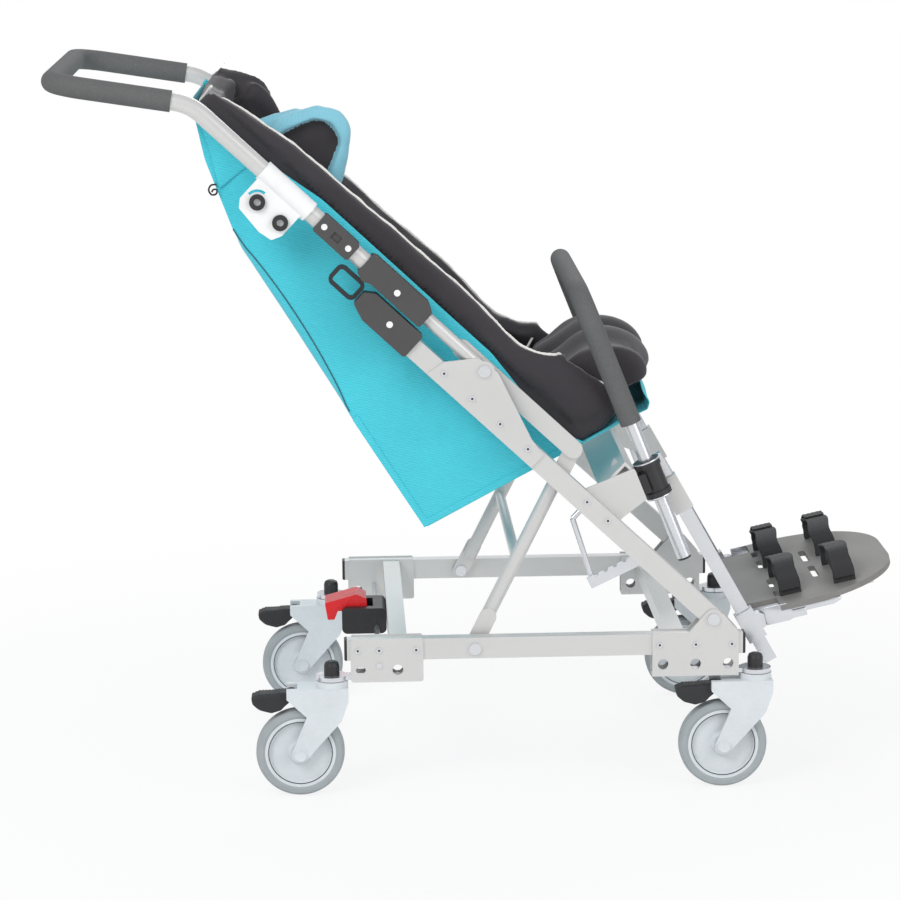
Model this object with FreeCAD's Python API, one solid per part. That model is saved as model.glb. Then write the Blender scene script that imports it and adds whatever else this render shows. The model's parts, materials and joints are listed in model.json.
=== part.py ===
"""Folding special needs stroller on four braked casters, modelled in millimetres.

X points forward, Y to the occupant's left and Z up; the floor is Z = 0.
The diagonal frame, the handle and the seat are drawn in the frame's own side plane:
s runs up along the diagonal from its lower pivot, n stands square to it, forward and up.
"""
import FreeCAD
import Part
import math
import os

Vector = FreeCAD.Vector

# Overall places
HANDLE_REAR_X = -602.5
FOOTPLATE_TIP_X = 602.5
TRACK_HALF = 240.0
RUNNING_CLEARANCE = 0.05
SIDE_CLEARANCE = 0.3

# Base frame
RAIL_REAR_X = -198.0
RAIL_FRONT_X = 360.0
RAIL_HEIGHT = 30.0
RAIL_WIDTH = 20.0
RAIL_TOP_Z = 225.0
TUBE_WALL = 2.0
PLUG_HEAD = 4.0
PLUG_SPIGOT = 14.0
REAR_CROSS_X = -126.0
FRONT_CROSS_X = 266.0
CROSS_SIZE = 25.0
PLATE = 3.0
BRACKET_BOTTOM_Z = 164.0
BRACKET_RISE = 2.0
REAR_BRACKET_X = -193.0
REAR_BRACKET_LENGTH = 102.0
FRONT_BRACKET_X = 232.0
FRONT_BRACKET_LENGTH = 122.0
BRACKET_CORNER = 4.0
EAR_RADIUS = 14.0
BRACKET_HOLE_Z = 181.5
BRACKET_HOLE_R = 7.5
REAR_HOLE_INSET = 36.0
REAR_SLOT_INSET = 14.0
SLOT_R = 4.0
SLOT_LENGTH = 14.0
RIVET_R = 4.0
RIVET_HEAD = 2.0
RIVET_INSET = 10.0

# Pivots of the folding frame
LOWER_PIVOT_X = 318.0
LOWER_PIVOT_Z = 246.0
FRAME_ANGLE = 43.2
HANDLE_PIVOT_S = 479.0
HANDLE_LINE_N = 42.7
LINK_LENGTH = 171.0
STRUT_FOOT_X = -18.0
STRUT_FOOT_Z = 209.0
PIVOT_PIN_R = 5.0
PIVOT_HEAD_R = 8.5
PIVOT_HEAD = 3.5

# Diagonal tubes and their plates
DIAGONAL_LENGTH = 600.0
DIAGONAL_DEPTH = 28.0
GUSSET_PIVOT_R = 14.0
GUSSET_TOP_GAP = 65.0
GUSSET_TOP_LEAN = 6.0
GUSSET_TOP_S = DIAGONAL_LENGTH - GUSSET_TOP_GAP
GUSSET_OUTLINE = [(338, -13.5), (GUSSET_TOP_S, -13.5), (GUSSET_TOP_S - GUSSET_TOP_LEAN, 15), (497, 51),
                  (464, 54),
                  (406, 32), (364, 16), (338, 12)]
GUSSET_RIVET_S = 360.0
GUSSET_RIVET_INSET = 16.9
GUSSET_RIVETS = 4
GUSSET_RIVET_PITCH = (GUSSET_TOP_S - GUSSET_RIVET_INSET - GUSSET_RIVET_S) / (GUSSET_RIVETS - 1)
GUSSET_RIVET_N = 3.0
LOCK_BLOCK_OUTLINE = [(-26, -18), (52, -18), (76, -9), (76, 12), (62, 22), (-26, 22)]
LOCK_BLOCK_OUT = 4.3
SIDE_PLATE_OUTLINE = [(264, -12), (257, 14), (226.5, 80.8), (183, 60.2), (190, 18), (188, -12)]
SIDE_BOLT_S = (207.0, 247.0)
CROSS_PLATE_OUTLINE = [(238, 26), (242, 26), (242, 78), (222, 78), (222, 74), (238, 74)]
CROSS_WEB_N = 52.0

# Bumper bar
BAR_TOP_X = 133.8
BAR_TOP_Z = 702.7
BAR_END_X = 281.0
BAR_END_Z = 327.0
BAR_R = 10.0
BAR_BEND_R = 52.0
BAR_FOAM_R = 15.0
BAR_FOAM_END = 196.0
BAR_CLAMP_AT = 281.0
BAR_CLAMP_LENGTH = 56.0
BAR_CLAMP_R = 17.0
CLAMP_COLLAR = 10.0
CLAMP_COLLAR_R = 19.0
CLAMP_GAP = 1.0
CLAMP_LUG = 28.0
CLAMP_LUG_REACH = (8.0, 26.0)

# Footrest
FOOT_RAIL_TOP_X = 240.2
FOOT_RAIL_TOP_Z = 467.2
FOOT_RAIL_ANGLE = 60.8
FOOT_RAIL_LENGTH = 347.0
SOCKET_GAP = 3.3
FOOT_RAIL_DEPTH = 20.0
FOOT_RAIL_WIDTH = 10.0
SOCKET_AT = 37.0
SOCKET_LENGTH = 54.0
SOCKET_WALL = 4.0
FOOT_PIVOT_X = 392.0
FOOT_PIVOT_Z = 224.0
FOOT_ROD_R = 6.0
FOOT_ROD_COLLAR_R = 12.0
FOOT_CLAMP_LENGTH = 46.0
FOOTPLATE_TILT = 12.3
FOOTPLATE_THICK = 8.0
FOOTPLATE_LIFT = 13.0
FOOTPLATE_BACK = 20.0
FOOTPLATE_NOTCH = 34.0
FOOTPLATE_SIDE_GAP = 23.0
FOOTPLATE_HALF = 190.0
FOOTPLATE_TIP_R = 150.0
BARREL_R = 10.5
BARREL_Y = (70.0, 112.0)
FOOT_SLOTS = [(38, 60, 46, 9), (38, 122, 30, 9), (104, 48, 64, 10), (150, 78, 64, 10)]
STRAP_AT = (56.0, 136.0)
STRAP_BAND = 32.0
STRAP_THICK = 3.0
STRAP_HALF_SPAN = 58.0
STRAP_HEIGHT = 44.0
STRAP_CENTRE_Y = 86.0
STRAP_KNEE = (0.86, 0.72)
CARRIER_BAR_Y = (117.0, 135.0)
CARRIER_BAR_U = 14.0
CARRIER_BAR_SHORT = 40.0
CARRIER_BAR_THICK = 5.0
CARRIER_EAR_Y = (138.0, 141.0)
CARRIER_EAR = [(-16, -26), (30, -22), (62, -9), (62, -4), (-16, -4)]

# Handle
HANDLE_R = 12.5
HANDLE_LOWER_R = 9.2
HANDLE_GRIP_RISE = 9.0
HANDLE_BEND = 423.0
HANDLE_BEND_R = 70.0
HANDLE_CORNER_R = 46.0
GRIP_R = 15.0
GRIP_START = 26.0
HANDLE_TUBE_END = 55.0
LINK_DEPTH = 26.0
LINK_THICK = 5.0
LINK_TOP_S = 520.0
SLEEVE_OUTLINE = [(-13, 27), (76, 27), (90, 22), (102, 27), (102, 58), (94, 61), (0, 61), (-13, 54)]
SLEEVE_HALF_WIDTH = 16.0
HEIGHT_BLOCK = (123.0, 187.0)
HEIGHT_BLOCK_HALF = 16.5
HEIGHT_BLOCK_DEPTH = 28.4
HEIGHT_BLOCK_WINDOW = (14.0, 10.0)
CLAMP_SLEEVE = (204.0, 290.0)
CLAMP_SLEEVE_R = 15.5
CLAMP_PLATE_OUTLINE = [(288, 36), (288, -6), (280, -17), (238, -23), (218, -20), (211, -6), (211, 36)]
CLAMP_PLATE_OUT = 11.0
CLAMP_SLOT_R = (13.5, 17.5)
KNOB_PLACES = (225.0, 267.0)
KNOB_N = 6.0
KNOB_R = 11.0
KNOB_HEIGHT = 6.0
KNOB_BORE_R = 5.0
LOOP = (78.0, 126.0)
LOOP_N = (-11.0, 21.5)
LOOP_BAND = 5.5
LOOP_CORNER = 10.0
LOOP_HALF_WIDTH = 5.0

# Rear struts
STRUT_R = 10.0
STRUT_PLATE = 4.0
STRUT_END_R = 12.0
STRUT_FLAT = 44.0
STRUT_CROSS_AT = 135.0
STRUT_CROSS_R = 7.5

# Tilt prop on the right diagonal
PROP_TOP = (240.0, -31.0)
PROP_FOOT = (158.0, -77.0)
PROP_ROD_R = 4.0
COMB_OUTLINE = [(168, -80), (152, -86), (124, -14), (124, 6), (142, 6), (142, -11)]
COMB_NOTCHES = 4

# Casters
REAR_STEM_X = -220.0
FRONT_STEM_X = 379.0
WHEEL_R = 62.5
TYRE_INNER_R = 50.0
TYRE_SEAT = 3.0
TYRE_SHOULDER = 4.0
TYRE_EDGE = 1.0
TYRE_CROWN = 8.0
RIM_BAND = 7.0
RIM_FLARE = 2.0
HUB_FLARE = 3.0
TYRE_HALF = 13.5
RIM_HALF = 12.0
WEB_HALF = 6.0
HUB_R = 15.0
HUB_HALF = 14.5
TRAIL = 46.0
FORK_INNER_HALF = 16.5
FORK_HALF = 22.0
FORK_TOP_Z = 157.0
FORK_ARM_R = 12.0
WHEEL_CLEARANCE = 4.0
AXLE_R = 4.0
AXLE_CAP_R = 9.0
AXLE_CAP = 2.0
SWIVEL_RING_R = 23.0
KINGPIN_R = 6.0
KINGPIN_FOOT_Z = 140.0
TONGUE_Z = 167.0
TONGUE_THICK = 6.0
TONGUE_WIDTH = 19.4
TONGUE_RUN = 104.0
TONGUE_EYE_R = 22.0
CAP_R = 11.0
CAP_HEIGHT = 21.0
PEDAL_PIVOT = (-57.0, 146.0)
PEDAL_BARREL_R = 7.0
PEDAL_PIN_R = 2.5
PEDAL_HALF = 13.0
PEDAL_OUTLINE = [(-54, 153), (-82, 148.5), (-102, 148), (-113, 143.5), (-111, 135), (-102, 127),
                 (-86, 122.5), (-72, 126.5), (-57, 139)]
FORK_SHOULDER = 18.0
FORK_BROW = 48.0
FORK_LEAN = 32.0
FORK_REAR_DROP = 14.0
FORK_WAIST = (10.0, 54.0)

# Rear latch
LATCH_ROD_X = -153.0
LATCH_ROD_Z = 188.0
LATCH_ROD_R = 4.0
LATCH_BOX_X = (-204.0, REAR_CROSS_X - CROSS_SIZE / 2)
LATCH_BOX_Z = (179.0, 217.0)
LATCH_HALF = 40.0
LATCH_SLOT_HALF = 25.0
LATCH_SLOT_FRONT_X = -158.0
LATCH_SLOT_FLOOR_Z = 192.0
LEVER_PIVOT = (-176.0, 208.0)
LEVER_PIN_R = 3.0
LEVER_OUTLINE = [(-225, 197), (-229, 222), (-182, 235), (-168, 228), (-166, 208), (-172, 201),
                 (-182, 201), (-196, 210), (-210, 210),
                 (-215, 197)]

# Soft seat, in the side plane
SEAT_CHAIN = [(1018, 38), (956, -5), (837, -64), (579, -133), (379, -185), (317, -3), (294, 61),
              (276, 114)]
SLING_TOP_N = 63.0
SLING_INSET = 13.3
SLING_CLOTH = 3.0
LINER_GAP = 1.0
LINER_PAD = 20.0
LINER_SIDE = 15.0
LINER_ROLL_R = 14.0
LINER_ROLL_INSET = 15.0
LINER_ROLL_DROP = 10.0
LINER_ROLL_BEND = 30.0
LINER_ROLL_END = 20.0
LINER_SLUMP = 18.0
LINER_RIM = [(292, 146), (396, 132), (414, 117), (458, 100), (569, 106), (709, 102), (867, 97),
             (1013, 80)]
CUSHION_GAP = 1.0
CUSHION_PROFILE = [(392, -126), (377, -62), (356, 0), (333, 66), (317, 120), (306, 152), (288, 168),
                   (282, 187),
                   (300, 201), (334, 198), (362, 178), (382, 120), (402, 20), (416, -60), (414, -112)]
CUSHION_INSET = 36.0
CUSHION_SECTIONS = [(-1.0, 15.0), (-0.9, 5.0), (-0.5, 0.0), (-0.12, 4.0), (0.0, 13.0), (0.12, 4.0),
                    (0.5, 0.0),
                    (0.9, 5.0), (1.0, 15.0)]
HEAD_S = (776.0, 926.0)
HEAD_FLOOR_N = (-50.0, 12.0)
HEAD_TOP_N = 158.0
HEAD_BAND = 21.0
HEAD_INSET = 66.0
HEAD_LINING = 6.0
HEAD_WING = 22.0
HEAD_PAD = 26.0

# Shared directions of the side plane
ALONG = Vector(-math.cos(math.radians(FRAME_ANGLE)), 0, math.sin(math.radians(FRAME_ANGLE)))
SQUARE = Vector(math.sin(math.radians(FRAME_ANGLE)), 0, math.cos(math.radians(FRAME_ANGLE)))
AXIS_X = Vector(1, 0, 0)
AXIS_Y = Vector(0, 1, 0)
AXIS_Z = Vector(0, 0, 1)
ORIGIN = Vector(0, 0, 0)

# Places worked out from the sizes above
RAIL_INNER = TRACK_HALF - RAIL_WIDTH / 2
RAIL_OUTER = TRACK_HALF + RAIL_WIDTH / 2
RAIL_MID_Z = RAIL_TOP_Z - RAIL_HEIGHT / 2
BRACKET_INNER = RAIL_INNER - PLATE
BRACKET_OUTER = RAIL_OUTER + PLATE
BRACKET_TOP_Z = RAIL_TOP_Z + BRACKET_RISE
DIAGONAL_INNER = RAIL_INNER + SIDE_CLEARANCE
DIAGONAL_OUTER = RAIL_OUTER - SIDE_CLEARANCE
GUSSET_OUTER = DIAGONAL_OUTER + PLATE
LINK_OUTER = DIAGONAL_INNER - 2 * SIDE_CLEARANCE
LINK_INNER = LINK_OUTER - LINK_THICK
STRUT_OUTER = LINK_INNER - 2 * SIDE_CLEARANCE
STRUT_INNER = STRUT_OUTER - STRUT_PLATE
STRUT_Y = STRUT_OUTER + 2 * SIDE_CLEARANCE - STRUT_R - STRUT_PLATE + 1.0
BAR_HALF_WIDTH = DIAGONAL_INNER - PLATE - CLAMP_COLLAR_R - CLAMP_GAP
SOCKET_HALF = FOOT_RAIL_WIDTH / 2 + SOCKET_WALL
FOOT_RAIL_HALF_GAP = BAR_HALF_WIDTH - CLAMP_COLLAR_R - SOCKET_GAP - SOCKET_HALF
FOOTPLATE_BACK_HALF = FOOT_RAIL_HALF_GAP - SOCKET_HALF - FOOTPLATE_SIDE_GAP
CLAMP_PLATE_Y = TRACK_HALF + CLAMP_PLATE_OUT
SLING_HALF = BAR_HALF_WIDTH - SLING_INSET
CUSHION_HALF = SLING_HALF - CUSHION_INSET
HEAD_HALF = SLING_HALF - HEAD_INSET
HANDLE_TUBE_END_S = DIAGONAL_LENGTH + HANDLE_TUBE_END
HANDLE_BEND_S = DIAGONAL_LENGTH + HANDLE_BEND


def plane(s, n, y=0.0):
    """Point of the frame's side plane."""
    return Vector(LOWER_PIVOT_X, y, LOWER_PIVOT_Z) + ALONG * s + SQUARE * n


def side(x, z, y=0.0):
    """Point of the upright side plane."""
    return Vector(x, y, z)


HANDLE_PIVOT = plane(HANDLE_PIVOT_S, HANDLE_LINE_N)
LINK_PIVOT = plane(HANDLE_PIVOT_S - LINK_LENGTH, HANDLE_LINE_N)
STRUT_FOOT = side(STRUT_FOOT_X, STRUT_FOOT_Z)
LOWER_PIVOT = side(LOWER_PIVOT_X, LOWER_PIVOT_Z)


def at_y(point, y):
    """The same side point at another Y."""
    return Vector(point.x, y, point.z)


def prism(points, y_from, y_to):
    """Closed outline in a side plane, pushed from one Y to another."""
    flat = [at_y(p, y_from) for p in points]
    face = Part.Face(Part.makePolygon(flat + flat[:1]))
    return face.extrude(Vector(0, y_to - y_from, 0))


def past_diagonal(outline):
    """Outline measured from the diagonal's top end, moved to the side plane's own places."""
    return [(DIAGONAL_LENGTH + s, n) for s, n in outline]


def frame_prism(outline, y_from, y_to):
    """Prism of an outline given along and square to the diagonal."""
    return prism([plane(s, n) for s, n in outline], y_from, y_to)


def upright_prism(outline, y_from, y_to):
    """Prism of an outline given in X and Z."""
    return prism([side(x, z) for x, z in outline], y_from, y_to)


def box(low, high):
    """Box between two corners."""
    size = high - low
    return Part.makeBox(size.x, size.y, size.z, low)


def rod(start, end, radius):
    """Round bar between two points."""
    run = end - start
    return Part.makeCylinder(radius, run.Length, start, run)


def pin(point, radius, y_from, y_to):
    """Round bar across the stroller at a side point."""
    return rod(at_y(point, y_from), at_y(point, y_to), radius)


def bar_outline(start, end, half):
    """Four corners of a straight bar in the side plane."""
    run = (end - start).normalize()
    across = Vector(-run.z, 0, run.x) * half
    return [start + across, end + across, end - across, start - across]


def bar(start, end, depth, y_from, y_to):
    """Straight flat bar between two side points."""
    return prism(bar_outline(start, end, depth / 2), y_from, y_to)


def rounded_bar(start, end, depth, y_from, y_to):
    """Straight flat bar with round ends about both side points."""
    solid = bar(start, end, depth, y_from, y_to)
    solid = solid.fuse([pin(start, depth / 2, y_from, y_to), pin(end, depth / 2, y_from, y_to)])
    return solid.removeSplitter()


def mirrored(shape):
    """The same piece on the other side of the stroller."""
    return shape.mirror(ORIGIN, AXIS_Y)


def both(shape):
    """A right hand piece with its left hand twin."""
    return Part.makeCompound([shape, mirrored(shape)])


def rounded_path(points, radius):
    """Straight runs joined by tangent arcs of one radius."""
    edges = []
    start = points[0]
    for before, corner, after in zip(points, points[1:], points[2:]):
        into = (corner - before).normalize()
        out = (after - corner).normalize()
        half_turn = into.getAngle(out) / 2
        reach = radius * math.tan(half_turn)
        first = corner - into * reach
        last = corner + out * reach
        inward = (out - into).normalize()
        middle = corner + inward * (radius / math.cos(half_turn) - radius)
        edges.append(Part.LineSegment(start, first).toShape())
        edges.append(Part.Arc(first, middle, last).toShape())
        start = last
    edges.append(Part.LineSegment(start, points[-1]).toShape())
    return Part.Wire(edges)


def swept(path, radius):
    """Round solid along a path."""
    start = path.Edges[0].Vertexes[0].Point
    direction = path.Edges[0].tangentAt(path.Edges[0].FirstParameter)
    section = Part.Wire(Part.makeCircle(radius, start, direction))
    return path.makePipeShell([section], True, False)


def swept_tube(path, radius, wall):
    """Hollow round tube along a path."""
    return swept(path, radius).cut(swept(path, radius - wall))


def revolved(profile, centre, axis, across):
    """Solid of revolution of (radius, height) points about an axis through a centre."""
    points = [centre + across * r + axis * h for r, h in profile]
    face = Part.Face(Part.makePolygon(points + points[:1]))
    return face.revolve(centre, axis, 360)


def soften(solid, radius, chosen):
    """Round the edges that a test chooses."""
    return solid.makeFillet(radius, [edge for edge in solid.Edges if chosen(edge)])


def runs_along_y(edge):
    """True for a straight edge across the stroller."""
    ends = [v.Point for v in edge.Vertexes]
    return len(ends) == 2 and abs((ends[1] - ends[0]).normalize().y) > 0.999


def save(name, shape):
    """Write one named piece."""
    shape.exportStep("parts/%s.step" % name)


def rectangular_tube(low, high, wall):
    """Box tube along the longest side of the box between two corners."""
    inner_low = low + Vector(wall, wall, wall)
    inner_high = high - Vector(wall, wall, wall)
    size = high - low
    if size.x > size.y:
        inner_low.x, inner_high.x = low.x, high.x
    else:
        inner_low.y, inner_high.y = low.y, high.y
    return box(low, high).cut(box(inner_low, inner_high))


def base_rail():
    """Right side rail with the strut bolt hole."""
    low = Vector(RAIL_REAR_X, -RAIL_OUTER, RAIL_TOP_Z - RAIL_HEIGHT)
    high = Vector(RAIL_FRONT_X, -RAIL_INNER, RAIL_TOP_Z)
    return rectangular_tube(low, high, TUBE_WALL).cut(pin(STRUT_FOOT, PIVOT_PIN_R, -RAIL_OUTER,
                                                          -RAIL_INNER))


def rail_plug(end_x, outward):
    """Plastic plug in one rail end."""
    half = RAIL_WIDTH / 2
    faces = sorted([end_x, end_x + outward * PLUG_HEAD])
    head = box(Vector(faces[0], -TRACK_HALF - half, RAIL_TOP_Z - RAIL_HEIGHT),
               Vector(faces[1], -TRACK_HALF + half, RAIL_TOP_Z))
    head = soften(head, PLUG_HEAD / 2, lambda e: abs(e.CenterOfMass.x - end_x - outward * PLUG_HEAD) < 0.01)
    faces = sorted([end_x, end_x - outward * PLUG_SPIGOT])
    inset = TUBE_WALL + RUNNING_CLEARANCE
    spigot = box(Vector(faces[0], -TRACK_HALF - half + inset, RAIL_TOP_Z - RAIL_HEIGHT + inset),
                 Vector(faces[1], -TRACK_HALF + half - inset, RAIL_TOP_Z - inset))
    return head.fuse(spigot)


def cross_tube(x):
    """Square tube between the inner bracket plates."""
    low = Vector(x - CROSS_SIZE / 2, -BRACKET_INNER, RAIL_TOP_Z - CROSS_SIZE)
    high = Vector(x + CROSS_SIZE / 2, BRACKET_INNER, RAIL_TOP_Z)
    return rectangular_tube(low, high, TUBE_WALL)


def bracket_channel(outline):
    """Folded channel: two plates beside the rail, joined under it."""
    plates = upright_prism(outline, -BRACKET_OUTER, -BRACKET_INNER)
    xs = [x for x, _ in outline]
    gap = box(Vector(min(xs) - PLATE, -RAIL_OUTER, BRACKET_BOTTOM_Z + PLATE),
              Vector(max(xs) + PLATE, -RAIL_INNER, LOWER_PIVOT_Z + 2 * EAR_RADIUS))
    return plates, gap


def rear_bracket():
    """Right rear bracket with its hole pattern."""
    front_x = REAR_BRACKET_X + REAR_BRACKET_LENGTH
    outline = [(REAR_BRACKET_X, BRACKET_BOTTOM_Z), (front_x, BRACKET_BOTTOM_Z), (front_x, BRACKET_TOP_Z),
               (REAR_BRACKET_X, BRACKET_TOP_Z)]
    plates, gap = bracket_channel(outline)
    plates = soften(plates, BRACKET_CORNER, runs_along_y)
    hole = side(front_x - REAR_HOLE_INSET, BRACKET_HOLE_Z)
    slot = side(REAR_BRACKET_X + REAR_SLOT_INSET, BRACKET_HOLE_Z)
    reach = Vector((SLOT_LENGTH - 2 * SLOT_R) / 2, 0, 0)
    latch = side(LATCH_ROD_X, LATCH_ROD_Z)
    cuts = [gap, pin(hole, BRACKET_HOLE_R, -BRACKET_OUTER, -BRACKET_INNER),
            rounded_bar(slot - reach, slot + reach, 2 * SLOT_R, -BRACKET_OUTER, -BRACKET_INNER),
            pin(latch, LATCH_ROD_R, -BRACKET_OUTER, -BRACKET_INNER)]
    return plates.cut(cuts)


def front_bracket():
    """Right front bracket with the ear that carries the diagonal."""
    front_x = FRONT_BRACKET_X + FRONT_BRACKET_LENGTH
    ear_rear = LOWER_PIVOT_X - 2.5 * EAR_RADIUS
    ear_front = LOWER_PIVOT_X + EAR_RADIUS
    outline = [(FRONT_BRACKET_X, BRACKET_BOTTOM_Z), (front_x, BRACKET_BOTTOM_Z), (front_x, BRACKET_TOP_Z),
               (ear_front, LOWER_PIVOT_Z + EAR_RADIUS / 2),
               (LOWER_PIVOT_X - EAR_RADIUS * 0.7, LOWER_PIVOT_Z + EAR_RADIUS * 0.7),
               (ear_rear, BRACKET_TOP_Z), (FRONT_BRACKET_X, BRACKET_TOP_Z)]
    plates, gap = bracket_channel(outline)
    plates = plates.fuse(pin(LOWER_PIVOT, EAR_RADIUS, -BRACKET_OUTER, -BRACKET_INNER)).removeSplitter()
    middle = FRONT_BRACKET_X + FRONT_BRACKET_LENGTH / 2
    pitch = FRONT_BRACKET_LENGTH / 2 - 2 * BRACKET_HOLE_R
    holes = [pin(side(middle + step * pitch, BRACKET_HOLE_Z), BRACKET_HOLE_R, -BRACKET_OUTER,
                 -BRACKET_INNER)
             for step in (-1, 0, 1)]
    pivot = pin(LOWER_PIVOT, PIVOT_PIN_R, -BRACKET_OUTER, -BRACKET_INNER)
    return plates.cut([gap, pivot] + holes)


def base_rivets():
    """Rivet heads on the outside of all four brackets."""
    rear_end = REAR_BRACKET_X + REAR_BRACKET_LENGTH
    front_end = FRONT_BRACKET_X + FRONT_BRACKET_LENGTH
    places = [REAR_BRACKET_X + RIVET_INSET, LATCH_ROD_X, rear_end - RIVET_INSET,
              FRONT_BRACKET_X + RIVET_INSET,
              (FRONT_BRACKET_X + front_end) / 2, front_end - RIVET_INSET]
    heads = [pin(side(x, RAIL_MID_Z), RIVET_R, -BRACKET_OUTER - RIVET_HEAD,
                 -BRACKET_OUTER) for x in places]
    return Part.makeCompound(heads + [mirrored(head) for head in heads])


def base_pivot_bolts():
    """Bolts that carry the diagonals and the strut feet."""
    lower = pin(LOWER_PIVOT, PIVOT_PIN_R, -BRACKET_OUTER, -BRACKET_INNER)
    lower_head = pin(LOWER_PIVOT, PIVOT_HEAD_R, -BRACKET_OUTER - PIVOT_HEAD, -BRACKET_OUTER)
    foot = pin(STRUT_FOOT, PIVOT_PIN_R, -RAIL_OUTER, -STRUT_INNER)
    foot_head = pin(STRUT_FOOT, PIVOT_HEAD_R, -RAIL_OUTER - PIVOT_HEAD, -RAIL_OUTER)
    foot_spacer = pin(STRUT_FOOT, PIVOT_HEAD_R, -RAIL_INNER, -STRUT_OUTER - SIDE_CLEARANCE)
    foot_nut = pin(STRUT_FOOT, PIVOT_HEAD_R, -STRUT_INNER + SIDE_CLEARANCE, -STRUT_INNER + PIVOT_HEAD)
    foot_tip = pin(STRUT_FOOT, PIVOT_PIN_R, -STRUT_INNER, -STRUT_INNER + PIVOT_HEAD)
    bolts = [lower.fuse(lower_head), foot.fuse([foot_head, foot_spacer, foot_nut, foot_tip])]
    return Part.makeCompound(bolts + [mirrored(bolt) for bolt in bolts])


def caster_stems():
    """The four caster places: stem X, side and the way its tongue runs."""
    return [(REAR_STEM_X, -1, 1), (REAR_STEM_X, 1, 1), (FRONT_STEM_X, -1, -1), (FRONT_STEM_X, 1, -1)]


def caster_plate(stem_x, side_sign, run_sign):
    """Zinc tongue in the bracket with the eye and kingpin of one caster."""
    y = side_sign * TRACK_HALF
    ends = sorted([stem_x, stem_x + run_sign * TONGUE_RUN])
    tongue = box(Vector(ends[0], y - TONGUE_WIDTH / 2, TONGUE_Z),
                 Vector(ends[1], y + TONGUE_WIDTH / 2, TONGUE_Z + TONGUE_THICK))
    centre = Vector(stem_x, y, TONGUE_Z)
    eye = Part.makeCylinder(TONGUE_EYE_R, TONGUE_THICK, centre)
    kingpin = Part.makeCylinder(KINGPIN_R, TONGUE_Z - KINGPIN_FOOT_Z, Vector(stem_x, y, KINGPIN_FOOT_Z))
    return tongue.fuse([eye, kingpin]).removeSplitter()


def nut_cap(stem_x, side_sign):
    """Domed cap over the kingpin nut."""
    base = Vector(stem_x, side_sign * TRACK_HALF, TONGUE_Z + TONGUE_THICK)
    shoulder = CAP_HEIGHT - CAP_R * 0.7
    profile = [(0, 0), (CAP_R, 0), (CAP_R, shoulder), (CAP_R * 0.86, shoulder + CAP_R * 0.42),
               (CAP_R * 0.5, CAP_HEIGHT - 1),
               (0, CAP_HEIGHT)]
    return revolved(profile, base, AXIS_Z, AXIS_X)


def latch_rod():
    """Rod through both rear brackets."""
    reach = BRACKET_OUTER + RIVET_HEAD
    return pin(side(LATCH_ROD_X, LATCH_ROD_Z), LATCH_ROD_R, -reach, reach)


def latch_housing():
    """Moulded housing on the rod, slotted for the red lever."""
    low = Vector(LATCH_BOX_X[0], -LATCH_HALF, LATCH_BOX_Z[0])
    high = Vector(LATCH_BOX_X[1], LATCH_HALF, LATCH_BOX_Z[1])
    body = soften(box(low, high), BRACKET_CORNER * 2, runs_along_y)
    slot = box(Vector(LATCH_BOX_X[0], -LATCH_SLOT_HALF, LATCH_SLOT_FLOOR_Z),
               Vector(LATCH_SLOT_FRONT_X, LATCH_SLOT_HALF, LATCH_BOX_Z[1]))
    bore = pin(side(LATCH_ROD_X, LATCH_ROD_Z), LATCH_ROD_R, -LATCH_HALF, LATCH_HALF)
    hinge = pin(side(*LEVER_PIVOT), LEVER_PIN_R, -LATCH_HALF, LATCH_HALF)
    return body.cut([slot, bore]).fuse(hinge)


def latch_lever():
    """Red release lever on the housing's hinge pin."""
    half = LATCH_SLOT_HALF - 2 * SIDE_CLEARANCE
    lever = upright_prism(LEVER_OUTLINE, -half, half)
    lever = soften(lever, LEVER_PIN_R * 0.6, runs_along_y)
    return lever.cut(pin(side(*LEVER_PIVOT), LEVER_PIN_R + RUNNING_CLEARANCE, -half, half))


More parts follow.
